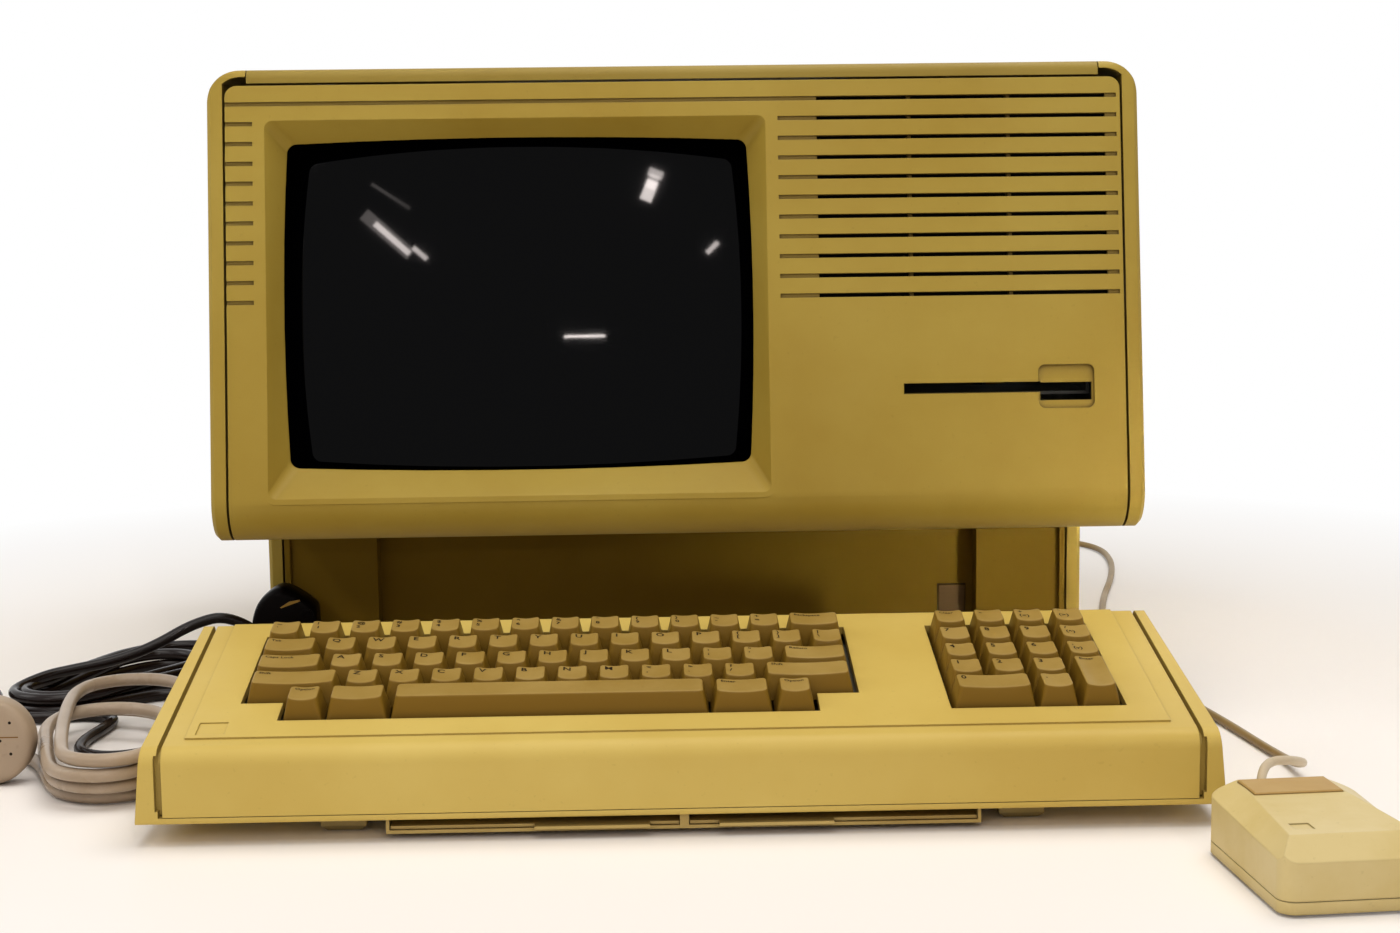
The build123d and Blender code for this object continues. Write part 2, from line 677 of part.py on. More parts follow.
def recess_panel():
    """Underside of the head and front of the pedestal in one moulding, its middle set back."""
    top = HEAD_FLOOR + PANEL
    low = PAN + FIT
    wing_y = PEDESTAL_FRONT + PANEL_SETBACK
    under = slab(-BEZEL_HALF, BEZEL_HALF, FRONT + BEZEL_RETURN + SEAM, ALCOVE_Y + PANEL, HEAD_FLOOR, top)
    left = slab(-BEZEL_HALF, ALCOVE_LEFT, wing_y, wing_y + PANEL, low, top)
    right = slab(ALCOVE_RIGHT, BEZEL_HALF, wing_y, wing_y + PANEL, low, top)
    cheek_left = slab(ALCOVE_LEFT - PANEL, ALCOVE_LEFT, wing_y, ALCOVE_Y + PANEL, low, top)
    cheek_right = slab(ALCOVE_RIGHT, ALCOVE_RIGHT + PANEL, wing_y, ALCOVE_Y + PANEL, low, top)
    middle = slab(ALCOVE_LEFT, ALCOVE_RIGHT, ALCOVE_Y, ALCOVE_Y + PANEL, low, top)
    strip = slab(BEZEL_HALF - EDGE_STRIP, BEZEL_HALF, PEDESTAL_FRONT, wing_y + PANEL, low, top)
    panel = under + left + right + cheek_left + cheek_right + middle + both_sides(strip)
    hole = Pos(BUTTON_X, ALCOVE_Y, BUTTON_Z) * Box(BUTTON_WIDTH + 2 * FIT, 4 * PANEL, BUTTON_HEIGHT + 2 * FIT)
    return panel - hole


def power_button():
    """Push button in the alcove, standing a little proud of it."""
    front = ALCOVE_Y - BUTTON_PROUD
    block = Pos(
        BUTTON_X,
        front + BUTTON_LENGTH / 2,
        BUTTON_Z,
    ) * Box(BUTTON_WIDTH, BUTTON_LENGTH, BUTTON_HEIGHT)
    edges = block.faces().sort_by(Axis.Y)[0].edges()
    return chamfer(edges, BUTTON_BEVEL)


FOOT_PLACES = [
    (sx * (BEZEL_HALF - FOOT_INSET_X), y)
    for sx in (-1, 1)
    for y in (ALCOVE_Y + FOOT_INSET_Y, BACK - PORT_SETBACK - FOOT_INSET_Y)
]


def base_pan():
    """Flat bottom pan with a low wall all round and four round seats for the feet."""
    front, back = PEDESTAL_FRONT + PANEL_SETBACK, BACK - PORT_SETBACK - PORT_PLATE - FIT
    plate = slab(-BEZEL_HALF, BEZEL_HALF, front, back, 0, PAN)
    inner = back - PAN
    walls = slab(-BEZEL_HALF, BEZEL_HALF, ALCOVE_Y + PANEL + FIT, back, 0, PAN_WALL)
    hollow = slab(
        -BEZEL_HALF + PAN,
        BEZEL_HALF - PAN,
        ALCOVE_Y + 2 * PANEL + FIT,
        inner,
        PAN,
        PAN_WALL + EDGE,
    )
    seats = [Pos(x, y, 0) * Cylinder(FOOT_RADIUS + FIT, 4 * PAN) for x, y in FOOT_PLACES]
    button_room = Pos(BUTTON_X, ALCOVE_Y + PANEL, BUTTON_Z) * Box(
        BUTTON_WIDTH + BUTTON_ROOM,
        8 * PANEL,
        BUTTON_HEIGHT + BUTTON_ROOM,
    )
    return plate + (walls - hollow) - seats - button_room


def base_feet():
    """Four rubber feet, flush with the pan."""
    disc = Cylinder(FOOT_RADIUS, FOOT_HEIGHT, align=(Align.CENTER, Align.CENTER, Align.MIN))
    return Compound([Pos(x, y, 0) * disc for x, y in FOOT_PLACES])


def screw_places():
    """The two thumbscrews of the rear cover."""
    return [(side * SCREW_SPACING / 2, REAR_SPLIT + SCREW_RISE) for side in (-1, 1)]


def rear_cover():
    """Pull-off back with a curved top edge, cooling slots and two screw holes."""
    low, high = REAR_SPLIT + FIT, HEIGHT - TOP_CORNER - FIT
    plate = slab(-BEZEL_HALF, BEZEL_HALF, BACK - WALL, BACK, low, high)
    skin = across(head_skin(WALL), COVER_HALF)
    brow = skin & slab(-HALF, HALF, BACK - BACK_RADIUS, BACK + EDGE, high - EDGE, HEIGHT + EDGE)
    cover = plate + brow
    cuts = [
        Pos(x, BACK, z) * Rot(X=90) * Cylinder(SCREW_SHANK + FIT, 4 * WALL) for x, z in screw_places()
    ]
    for row in range(3):
        z = REAR_SPLIT + 0.6 * VENT_LENGTH + row * VENT_LENGTH * 0.85
        for index in range(VENT_COUNT):
            x = (index - (VENT_COUNT - 1) / 2) * VENT_PITCH * 1.4
            slot = SlotOverall(VENT_LENGTH * 0.7, VENT_WIDTH, rotation=90)
            cuts.append(Pos(x, BACK, z) * extrude(Plane.XZ * slot, WALL * 2, both=True))
    return cover - cuts


def cover_screws():
    """Two thumbscrews that hold the rear cover."""
    screws = []
    for x, z in screw_places():
        head = Pos(x, BACK + SCREW_HEAD / 2, z) * Rot(X=90) * Cylinder(SCREW_HEAD, SCREW_HEAD)
        shank = Pos(x, BACK - SCREW_LENGTH / 2, z) * Rot(X=90) * Cylinder(SCREW_SHANK, SCREW_LENGTH)
        screws.append(head + shank)
    return Compound(screws)


PORT_Y = BACK - PORT_SETBACK  # outer face of the port panel


def port_panel():
    """Metal connector panel across the pedestal's back."""
    plate = slab(-BEZEL_HALF, BEZEL_HALF, PORT_Y - PORT_PLATE, PORT_Y, PAN / 2, REAR_SPLIT)
    flange = slab(
        -BEZEL_HALF,
        BEZEL_HALF,
        PORT_Y - 6 * PORT_PLATE,
        PORT_Y,
        REAR_SPLIT - PORT_PLATE,
        REAR_SPLIT,
    )
    return plate + flange


def d_connector(x, z, width):
    """One D-shaped connector with its two posts."""
    shell = Pos(x, PORT_Y, z) * extrude(Plane.XZ * Trapezoid(width, PORT_HEIGHT, 80), -PORT_SETBACK)
    rows = Pos(x, PORT_Y + PORT_SETBACK, z) * Box(width - 2 * PORT_LIP, POST_RADIUS, PORT_LIP)
    post = Rot(X=90) * Cylinder(POST_RADIUS, POST_LENGTH)
    posts = [Pos(x + s * (width / 2 + POST_GAP), PORT_Y + POST_LENGTH / 2, z) * post for s in (-1, 1)]
    return [shell - rows, *posts]


def port_connectors():
    """Sockets on the port panel: two serial, one parallel, video, keyboard jack and mouse."""
    pieces = []
    for side, width in (*WIDE_PORTS, (MOUSE_PORT_SIDE, MOUSE_PORT_WIDTH)):
        pieces += d_connector(BEZEL_HALF - side, MOUSE_PORT_Z, width)
    for side in JACK_SIDES:
        ring = Pos(BEZEL_HALF - side, PORT_Y + PORT_SETBACK / 2, MOUSE_PORT_Z) * Rot(X=90) * (
            Cylinder(JACK_RADIUS, PORT_SETBACK) - Cylinder(JACK_BORE, PORT_SETBACK)
        )
        pieces.append(ring)
    return Compound(pieces)


def mains_inlet():
    """Recessed mains socket on the port panel."""
    body = Pos(INLET_X, PORT_Y + PORT_SETBACK / 2, INLET_Z) * Box(INLET_WIDTH, PORT_SETBACK, INLET_HEIGHT)
    size = (INLET_WIDTH - 2 * INLET_RIM, PORT_SETBACK, INLET_HEIGHT - 2 * INLET_RIM)
    well = Pos(INLET_X, PORT_Y + PORT_SETBACK, INLET_Z) * Box(*size)
    return body - well


# ---------------------------------------------------------------- chassis, tube, boards
def chassis():
    """Sheet-metal shelf with the tube's front plate, the drive's stand and the cover rails."""
    back = BACK - WALL - FIT - SHELF_BACK / 3
    shelf_back = BACK - WALL - FIT - SHELF_BACK
    shelf = slab(-BEZEL_HALF, BEZEL_HALF, FRONT + BEZEL_RETURN + SEAM, shelf_back, SHELF_Z, SHELF_Z + SHEET)
    plate = on_face(
        -BEZEL_HALF,
        SCREEN_X + GLASS_WIDTH / 2 + EAR + TUBE_PLATE_SIDE,
        SHELF_Z - HEAD_FLOOR,
        BEZEL_TOP - RAIL_WIDTH,
        -TUBE_PLATE_W - SHEET,
        -TUBE_PLATE_W,
    )
    window = on_face(
        SCREEN_X - GLASS_WIDTH / 2 - FIT,
        SCREEN_X + GLASS_WIDTH / 2 + FIT,
        SCREEN_V + VIEW_RISE - GLASS_HEIGHT / 2 - FIT,
        SCREEN_V + VIEW_RISE + GLASS_HEIGHT / 2 + FIT,
        -TUBE_PLATE_W - 3 * SHEET,
        -TUBE_PLATE_W + SHEET,
    )
    plate = (plate - window) & slab(-HALF, HALF, FRONT, BACK, SHELF_Z, HEIGHT)
    rail_top = HEIGHT - WALL - FIT
    rail_x = COVER_HALF - RAIL_INSET
    rail_front, rail_back = FACE_TOP_Y + RAIL_POST, back - RAIL_INSET
    rail = slab(rail_x, rail_x + RAIL_WIDTH, rail_front, rail_back, rail_top - SHEET, rail_top)
    posts = [
        slab(rail_x, rail_x + SHEET, y, y + RAIL_POST, SHELF_Z, rail_top)
        for y in (DRIVE_FRONT + DRIVE_LENGTH + RAIL_POST, rail_back - 1.5 * RAIL_POST)
    ]
    rails = both_sides(rail + posts)
    drive_floor = DISK_SLOT_Z - DRIVE_DROP
    stand_top = slab(
        DRIVE_LEFT,
        DRIVE_RIGHT,
        DRIVE_FRONT + STAND_FRONT,
        DRIVE_FRONT + DRIVE_LENGTH,
        drive_floor - SHEET,
        drive_floor,
    )
    leg_front = DRIVE_FRONT + STAND_FRONT + LEG_INSET
    legs = [
        slab(x, x + SHEET, leg_front, DRIVE_FRONT + DRIVE_LENGTH - LEG_INSET, SHELF_Z, drive_floor)
        for x in (DRIVE_LEFT, DRIVE_RIGHT - SHEET)
    ]
    hub_room = Pos(DRIVE_MID, HUB_Y, drive_floor) * Cylinder(HUB_RADIUS / 2, 4 * SHEET)
    return shelf + plate + rails + (stand_top - hub_room) + legs


TUBE = FACE * Pos(SCREEN_X, SCREEN_V + VIEW_RISE, 0)  # tube axis, outwards


def crt_tube():
    """Picture tube: domed face, skirt with mounting band, funnel and neck."""
    block = Pos(0, 0, -GLASS_SKIRT) * extrude(
        rounded(GLASS_WIDTH, GLASS_HEIGHT, GLASS_CORNER),
        GLASS_SKIRT - GLASS_SETBACK,
    )
    dome = Pos(0, 0, -GLASS_SETBACK - GLASS_DOME) * Sphere(GLASS_DOME)
    face = block & dome
    bulb = loft(
        [
            Pos(0, 0, -GLASS_SKIRT) * rounded(GLASS_WIDTH, GLASS_HEIGHT, GLASS_CORNER),
            Pos(0, 0, -GLASS_SKIRT - FUNNEL_LENGTH) * rounded(3 * NECK_RADIUS, 3 * NECK_RADIUS, NECK_RADIUS),
        ],
        ruled=True,
    )
    neck_top = -GLASS_SKIRT - FUNNEL_LENGTH
    neck = Pos(0, 0, neck_top - NECK_LENGTH / 2) * Cylinder(NECK_RADIUS, NECK_LENGTH)
    ear_level = -TUBE_PLATE_W - SHEET
    ear = slab(
        GLASS_WIDTH / 2 - WALL,
        GLASS_WIDTH / 2 + EAR,
        GLASS_HEIGHT / 2 - GLASS_CORNER - EAR,
        GLASS_HEIGHT / 2 - GLASS_CORNER,
        ear_level - EAR,
        ear_level,
    )
    ears = [ear, mirror(ear, Plane.YZ)]
    ears += [mirror(piece, Plane.XZ) for piece in ears]
    return TUBE * (face + bulb + neck + ears)


def deflection_yoke():
    """Winding ring on the tube's neck."""
    top = -GLASS_SKIRT - FUNNEL_LENGTH - 1
    ring = Cylinder(YOKE_RADIUS, YOKE_LENGTH) - Cylinder(NECK_RADIUS + FIT, YOKE_LENGTH + EDGE)
    collar = Cylinder(YOKE_RADIUS * 0.6, YOKE_LENGTH * 0.4) - Cylinder(NECK_RADIUS + FIT, YOKE_LENGTH)
    ring = Pos(0, 0, top - YOKE_LENGTH / 2) * ring
    collar = Pos(0, 0, top - YOKE_LENGTH * 1.2) * collar
    return TUBE * (ring + collar)


def video_board():
    """Upright board with its flyback transformer, on the shelf."""
    x, y, z = DRIVE_LEFT - VIDEO_GAP, VIDEO_FRONT, SHELF_Z + SHEET
    board = slab(x, x + BOARD, y, y + VIDEO_LENGTH, z, z + VIDEO_SHARE * HEAD_HEIGHT)
    block = VIDEO_LENGTH / 4
    flyback = slab(x + BOARD, x + BOARD + block, y + block, y + 2 * block, z + block, z + 2.5 * block)
    sink = slab(
        x + BOARD,
        x + BOARD + block / 2.5,
        y + 2.5 * block,
        y + 3.8 * block,
        z + block / 2,
        z + 2 * block,
    )
    return board + flyback + sink


def power_supply():
    """Closed supply box behind the mains inlet."""
    front, back = ALCOVE_Y + 3 * PANEL, BACK - PORT_SETBACK - PORT_PLATE - 2 * FIT - PAN
    box = slab(PSU_LEFT, PSU_RIGHT, front, back, PAN, BAY_TOP)
    count = int((PSU_WIDTH - 2 * PSU_VENT_PITCH) // PSU_VENT_PITCH)
    vents = []
    for index in range(count):
        x = PSU_LEFT + (index + 1.5) * PSU_VENT_PITCH
        vents.append(slab(x, x + PSU_VENT, front - EDGE, front + EDGE, PAN_WALL + 4 * PAN, BAY_TOP - 5 * PAN))
    return box - vents


def cage_reach(inset):
    """Front and back of what stands in the card cage."""
    return ALCOVE_Y + 1.5 * BAY_MARGIN + inset, BACK - BAY_MARGIN - inset


def card_cage():
    """Open sheet-metal cage for the boards, standing on the pan."""
    front, back = cage_reach(0)
    floor = slab(CAGE_LEFT, CAGE_RIGHT, front, back, PAN, PAN + SHEET)
    ends = [slab(x, x + SHEET, front, back, PAN, BAY_TOP) for x in (CAGE_LEFT, CAGE_RIGHT - SHEET)]
    return floor + ends


def backplane():
    """Flat board on the cage's floor with four long edge sockets."""
    front, back = cage_reach(2 * SHEET)
    level = PAN + SHEET + FIT
    board = slab(CAGE_LEFT + 2 * SHEET, CAGE_RIGHT - 2 * SHEET, front, back, level, level + BOARD)
    low, high = level + BOARD, level + BOARD + SOCKET_HEIGHT
    half, slit = SOCKET_WIDTH / 2, BOARD / 2 + FIT
    front, back = cage_reach(6 * SHEET)
    sockets = [slab(x - half, x + half, front, back, low, high) for x in board_places()]
    grooves = [
        slab(x - slit, x + slit, front + EDGE, back - EDGE, low + SOCKET_HEIGHT / 3, high + EDGE)
        for x in board_places()
    ]
    return board + sockets - grooves


def board_places():
    """Middle lines of the upright boards."""
    middle = (CAGE_LEFT + CAGE_RIGHT) / 2
    return [middle + (index - (BOARD_COUNT - 1) / 2) * BOARD_PITCH for index in range(BOARD_COUNT)]


def plug_in_boards():
    """Processor, input-output and two memory boards with rows of chips."""
    front, back = cage_reach(7 * SHEET)
    low = PAN + SHEET + FIT + BOARD + SOCKET_HEIGHT / 3 + FIT
    columns = int((back - front) // CHIP_PITCH)
    rows = int((BAY_TOP - SHEET - low - SOCKET_HEIGHT) // CHIP_PITCH)
    boards = []
    for x in board_places():
        board = slab(x - BOARD / 2, x + BOARD / 2, front, back, low, BAY_TOP - SHEET)
        chips = []
        for column in range(columns):
            for row in range(rows):
                y = front + (column + 0.5) * CHIP_PITCH - CHIP_LENGTH / 2
                z = low + SOCKET_HEIGHT + (row + 0.5) * CHIP_PITCH - CHIP_WIDTH / 2
                chips.append(
                    slab(x + BOARD / 2, x + BOARD / 2 + CHIP_HEIGHT, y, y + CHIP_LENGTH, z, z + CHIP_WIDTH)
                )
        boards.append(board + chips)
    return Compound(boards)


# ---------------------------------------------------------------- disk drive
DRIVE_MID = (DRIVE_LEFT + DRIVE_RIGHT) / 2
DRIVE_FLOOR = DISK_SLOT_Z - DRIVE_DROP
HUB_Y = DRIVE_FRONT + HUB_BACK
CARRIAGE_Y = HUB_Y + CARRIAGE_BACK


def drive_frame():
    """Cast frame: floor, two cheeks, rear motor block and the lead screw's bearings."""
    back = DRIVE_FRONT + DRIVE_LENGTH
    low, high = DRIVE_FLOOR + FIT, DISK_SLOT_Z + DRIVE_RISE
    floor = slab(DRIVE_LEFT, DRIVE_RIGHT, DRIVE_FRONT, back, low, low + SHEET)
    cheeks = [slab(x, x + SHEET, DRIVE_FRONT, back, low, high) for x in (DRIVE_LEFT, DRIVE_RIGHT - SHEET)]
    half, front = MOTOR_WIDTH / 2, back - MOTOR_LENGTH
    motor = slab(DRIVE_MID - half, DRIVE_MID + half, front, back, low, low + MOTOR_HEIGHT)
    bore = Pos(DRIVE_MID, front, screw_level()) * Rot(X=90) * Cylinder(
        SCREW_RADIUS + ROLLER_PLAY,
        2 * (MOTOR_LENGTH - SCREW_END) + 4 * EDGE,
    )
    seat = Pos(DRIVE_MID, HUB_Y, low) * Cylinder(HUB_RADIUS / 3 + ROLLER_PLAY, 6 * SHEET)
    return floor + cheeks + (motor - bore) - seat


def screw_level():
    """Height of the lead screw's axis."""
    return DRIVE_FLOOR + FIT + SHEET + SCREW_RISE_IN_DRIVE


def disk_cradle():
    """Tray that takes the disk and drops it onto the hub."""
    left, right = DRIVE_LEFT + SHEET + FIT, DRIVE_RIGHT - SHEET - FIT
    level = DISK_SLOT_Z - CRADLE_DOWN
    front, back = DRIVE_FRONT + CRADLE_FRONT, DRIVE_FRONT + CRADLE_FRONT + CRADLE_LENGTH
    tray = slab(left, right, front, back, level, level + CRADLE_SHEET)
    lips = [
        slab(x, x + CRADLE_SHEET, front, back, level, level + CRADLE_LIP)
        for x in (left, right - CRADLE_SHEET)
    ]
    hole = Pos(DRIVE_MID, HUB_Y, level) * Cylinder(HUB_RADIUS + HUB_ROOM, 4 * CRADLE_SHEET)
    half, end = HEAD_SLOT / 2, back - HEAD_SLOT_END
    head_slot = slab(
        DRIVE_MID - half,
        DRIVE_MID + half,
        HUB_Y,
        end,
        level - EDGE,
        level + CRADLE_SHEET + EDGE,
    )
    return tray + lips - hole - head_slot


def spindle_hub():
    """Drive hub with its shaft and a drive pin."""
    low = DRIVE_FLOOR + FIT + SHEET + FIT
    plate = Pos(DRIVE_MID, HUB_Y, low + HUB_HEIGHT / 2) * Cylinder(HUB_RADIUS, HUB_HEIGHT)
    shaft = Pos(DRIVE_MID, HUB_Y, low - SHEET + FIT) * Cylinder(HUB_RADIUS / 3, 2 * SHEET)
    pin = Pos(DRIVE_MID + HUB_RADIUS * 0.6, HUB_Y, low + HUB_HEIGHT) * Cylinder(PIN_RADIUS, 2 * PIN_HEIGHT)
    return plate + shaft + pin


def head_carriage():
    """Read-write head carriage, which rides along the lead screw."""
    low = DRIVE_FLOOR + FIT + SHEET + FIT
    high, front, half = low + CARRIAGE_HEIGHT, CARRIAGE_Y - CARRIAGE_LENGTH, CARRIAGE_WIDTH / 2
    block = slab(DRIVE_MID - half, DRIVE_MID + half, front, CARRIAGE_Y, low, high)
    half = ARM_WIDTH / 2
    arm = slab(DRIVE_MID - half, DRIVE_MID + half, front - ARM_LENGTH, front, high - ARM_HEIGHT, high)
    bore = Pos(DRIVE_MID, front, screw_level()) * Rot(X=90) * Cylinder(
        SCREW_RADIUS + ROLLER_PLAY,
        3 * CARRIAGE_LENGTH,
    )
    return block + arm - bore


def lead_screw():
    """Screw that the step motor turns to move the head carriage."""
    front = CARRIAGE_Y - CARRIAGE_LENGTH - HEAD_TRAVEL - ARM_LENGTH + EDGE
    back = DRIVE_FRONT + DRIVE_LENGTH - SCREW_END
    rod = Pos(DRIVE_MID, (front + back) / 2, screw_level()) * Rot(X=90) * Cylinder(SCREW_RADIUS, back - front)
    return rod


# ---------------------------------------------------------------- keyboard
def keyboard_outline():
    """Side view of the keyboard, in the YZ plane."""
    rear = KB_FRONT + KB_DEPTH
    points = [
        (KB_FRONT, KB_FLOOR),
        (KB_FRONT, KB_FRONT_HEIGHT),
        (rear, KB_FRONT_HEIGHT + KB_DEPTH * tan(SLOPE)),
        (rear, KB_FLOOR),
    ]
    return outline(points, [KB_FOOT_RADIUS, KB_FRONT_RADIUS, KB_REAR_RADIUS, KB_FOOT_RADIUS])


def keyboard_prism(flat, left, right):
    """Extrudes a keyboard side view between two distances from its middle line."""
    return Pos(KB_X + left, 0, 0) * extrude(Plane.YZ * flat, right - left)


def draft_cutter():
    """Everything outside the leaning right side of the keyboard, and its mirror image."""
    block = slab(0, KB_DEPTH, KB_FRONT - KB_DEPTH, KB_FRONT + 2 * KB_DEPTH, -KB_DEPTH, KB_DEPTH)
    right = Pos(KB_HALF_WIDTH, 0, KB_FLOOR) * Rot(Y=-KB_DRAFT) * block
    return Pos(KB_X, 0, 0) * both_sides(right)


def main_opening():
    """Openings for the main block, its inset bottom row and the number pad, through the deck."""
    main_right = MAIN_LEFT + MAIN_UNITS * PITCH + 2 * KEY_MARGIN
    pad_right = PAD_LEFT + PAD_COLUMNS * PITCH + 2 * KEY_MARGIN
    second = KEYS_FRONT + PITCH
    return [
        DECK * slab(MAIN_LEFT, main_right, second, KEY_PANEL_TOP, -3 * KB_WALL, 3 * KB_WALL),
        DECK * slab(
            MAIN_LEFT + PITCH,
            main_right - PITCH,
            KEYS_FRONT,
            second + EDGE,
            -3 * KB_WALL,
            3 * KB_WALL,
        ),
        DECK * slab(PAD_LEFT, pad_right, KEYS_FRONT, KEY_PANEL_TOP, -3 * KB_WALL, 3 * KB_WALL),
    ]


def keyboard_cover():
    """Top cover between the side grooves: front, deck with key openings, and rear."""
    body = keyboard_outline()
    skin = keyboard_prism(body - offset(body, -KB_WALL), -KB_COVER_HALF, KB_COVER_HALF)
    above = slab(-WIDTH, WIDTH, KB_FRONT - EDGE, KB_FRONT + KB_DEPTH + EDGE, KB_FLOOR + KB_WALL + FIT, HEIGHT)
    deck_length = KB_DEPTH / cos(SLOPE)
    plateau = DECK * slab(
        PLATEAU_LEFT,
        PLATEAU_RIGHT,
        PLATEAU_FRONT,
        deck_length - KB_REAR_RADIUS,
        -KB_WALL / 2,
        PLATEAU_RISE,
    )
    emblem = DECK * (Pos(EMBLEM_X, EMBLEM_W, PLATEAU_RISE) * Box(EMBLEM_SIZE, EMBLEM_SIZE, 2 * EMBLEM_DEPTH))
    return (skin & above) + plateau - main_opening() - emblem


def groove_front(inner):
    """What the side grooves take from the rims on the front, above the foot of the groove."""
    step = KB_GROOVE_FRONT - KB_GROOVE
    right = slab(
        inner - EDGE,
        inner + step,
        KB_FRONT - EDGE,
        KB_FRONT + KB_GROOVE_DEPTH,
        KB_GROOVE_END,
        KB_FRONT_HEIGHT + KB_GROOVE_DEPTH * tan(SLOPE) - KB_FRONT_RADIUS / 3,
    )
    return Pos(KB_X, 0, 0) * both_sides(right)


def keyboard_base():
    """Bottom tray with the two drafted side rims and the posts under the switch plate."""
    body = keyboard_outline()
    inner = KB_COVER_HALF + KB_GROOVE
    rims = keyboard_prism(body, inner, KB_HALF_WIDTH + EDGE) + keyboard_prism(
        body,
        -KB_HALF_WIDTH - EDGE,
        -inner,
    )
    rims = rims - groove_front(inner)
    sunk = offset(body, -KB_GROOVE_DEPTH)
    ledges = keyboard_prism(sunk, KB_COVER_HALF - KB_WALL, inner) + keyboard_prism(
        sunk,
        -inner,
        -KB_COVER_HALF + KB_WALL,
    )
    rims = rims + ledges
    floor = keyboard_prism(body, -inner, inner) & slab(
        -WIDTH,
        WIDTH,
        KB_FRONT,
        KB_FRONT + KB_DEPTH,
        0,
        KB_FLOOR + KB_WALL,
    )
    back_lip = slab(
        KB_X - inner,
        KB_X + inner,
        KB_FRONT + KB_DEPTH - 2 * KB_WALL - 2,
        KB_FRONT + KB_DEPTH - KB_WALL - FIT,
        KB_FLOOR,
        KB_FLOOR + 4 * KB_WALL,
    )
    posts = []
    half, top = KB_POST / 2, -KEY_BOARD_DEPTH - BOARD - FIT
    for x in KB_POSTS:
        for w in (KEYS_FRONT, KEY_PANEL_TOP):
            posts.append(DECK * slab(x - half, x + half, w - half, w + half, -KB_DEPTH, top))
    room = slab(-WIDTH, WIDTH, KB_FRONT, KB_FRONT + KB_DEPTH, KB_FLOOR + KB_WALL / 2, HEIGHT)
    posts = [post & room for post in posts]
    return (rims - draft_cutter()) + floor + back_lip + posts


def keyboard_feet():
    """Two rubber feet near the front and two at the back."""
    feet = []
    for x in (KB_FOOT_LEFT, KB_FOOT_RIGHT):
        for y in (KB_FRONT + KB_FOOT_FRONT, KB_FRONT + KB_DEPTH - KB_FOOT_BACK):
            half_x, half_y = KB_FOOT_WIDTH / 2, KB_FOOT_LENGTH / 2
            foot = slab(KB_X + x - half_x, KB_X + x + half_x, y - half_y, y + half_y, 0, KB_FLOOR)
            feet.append(chamfer(foot.faces().sort_by(Axis.Z)[0].edges(), KB_FOOT_BEVEL))
    return Compound(feet)


def card_tray():
    """Flat tray under the keyboard, open at the front, in two bays."""
    left, right = KB_X + TRAY_LEFT, KB_X + TRAY_RIGHT
    front, back = KB_FRONT + TRAY_FRONT, KB_FRONT + TRAY_FRONT + TRAY_DEPTH
    low, high = KB_FLOOR - TRAY_HEIGHT, KB_FLOOR
    block = slab(left, right, front, back, low, high)
    middle = (left + right) / 2
    bays = [
        slab(
            left + TRAY_WALL,
            middle - CARD_GAP / 2,
            front - EDGE,
            back - TRAY_WALL,
            low + TRAY_WALL,
            high + EDGE,
        ),
        slab(
            middle + CARD_GAP / 2,
            right - TRAY_WALL,
            front - EDGE,
            back - TRAY_WALL,
            low + TRAY_WALL,
            high + EDGE,
        ),
    ]
    return block - bays


def reference_card(side):
    """One pull-out card with its tab; side is -1 for the left bay and 1 for the right."""
    left, right = KB_X + TRAY_LEFT, KB_X + TRAY_RIGHT
    middle = (left + right) / 2
    outer = left + TRAY_WALL + FIT if side < 0 else right - TRAY_WALL - FIT
    inner = middle + side * (CARD_GAP / 2 + FIT)
    front = KB_FRONT + TRAY_FRONT + CARD_SETBACK
    back = KB_FRONT + TRAY_FRONT + TRAY_DEPTH - TRAY_WALL - CARD_END
    low = KB_FLOOR - TRAY_HEIGHT + TRAY_WALL + FIT
    card = slab(min(outer, inner), max(outer, inner), front, back, low, low + CARD)
    tab_middle = (outer + inner) / 2 - side * CARD_TAB / 2
    tab_front, half = front - TRAY_FRONT, CARD_TAB / 2
    tab = slab(tab_middle - half, tab_middle + half, tab_front, tab_front + CARD_TAB_LENGTH, low, low + CARD)
    return card + tab


def row_middle(row):
    """How far up the deck a key row's middle lies; row 0 is the bottom row."""
    return KEYS_FRONT + KEY_MARGIN + (row + 0.5) * PITCH


def key(units, row, length=1):
    """One keycap of a width in key units, on its own centre, with its stem."""
    extra_x, extra_y = (units - 1) * PITCH, (length - 1) * PITCH
    base = Pos(0, 0, -KEY_SKIRT) * Rectangle(KEY_BASE + extra_x, KEY_BASE + extra_y)
    crown = Pos(0, KEY_TOP_BACK, ROW_TOPS[row]) * Rectangle(KEY_TOP_WIDTH + extra_x, KEY_TOP_LENGTH + extra_y)
    cap = loft([base, crown], ruled=True)
    if units < 4:
        half = (KEY_TOP_WIDTH + extra_x) / 2
        dish = (half**2 + KEY_DISH**2) / (2 * KEY_DISH)
        tool = Pos(
            0,
            0,
            ROW_TOPS[row] - KEY_DISH + dish,
        ) * Rot(X=90) * Cylinder(dish, 2 * KEY_BASE + 2 * extra_y)
        cap = cap - tool
    stem = Pos(0, 0, -KEY_SKIRT - STEM_LENGTH / 2) * Box(STEM, STEM, STEM_LENGTH)
    return cap + stem


def main_row(row, widths, inset=0.0):
    """(x, units) of each key of a main-block row, from its left end."""
    x = MAIN_LEFT + KEY_MARGIN + inset * PITCH
    places = []
    for units in widths:
        places.append((x + units * PITCH / 2, units))
        x += units * PITCH
    return [(place_x, row_middle(row), units, row, 1) for place_x, units in places]


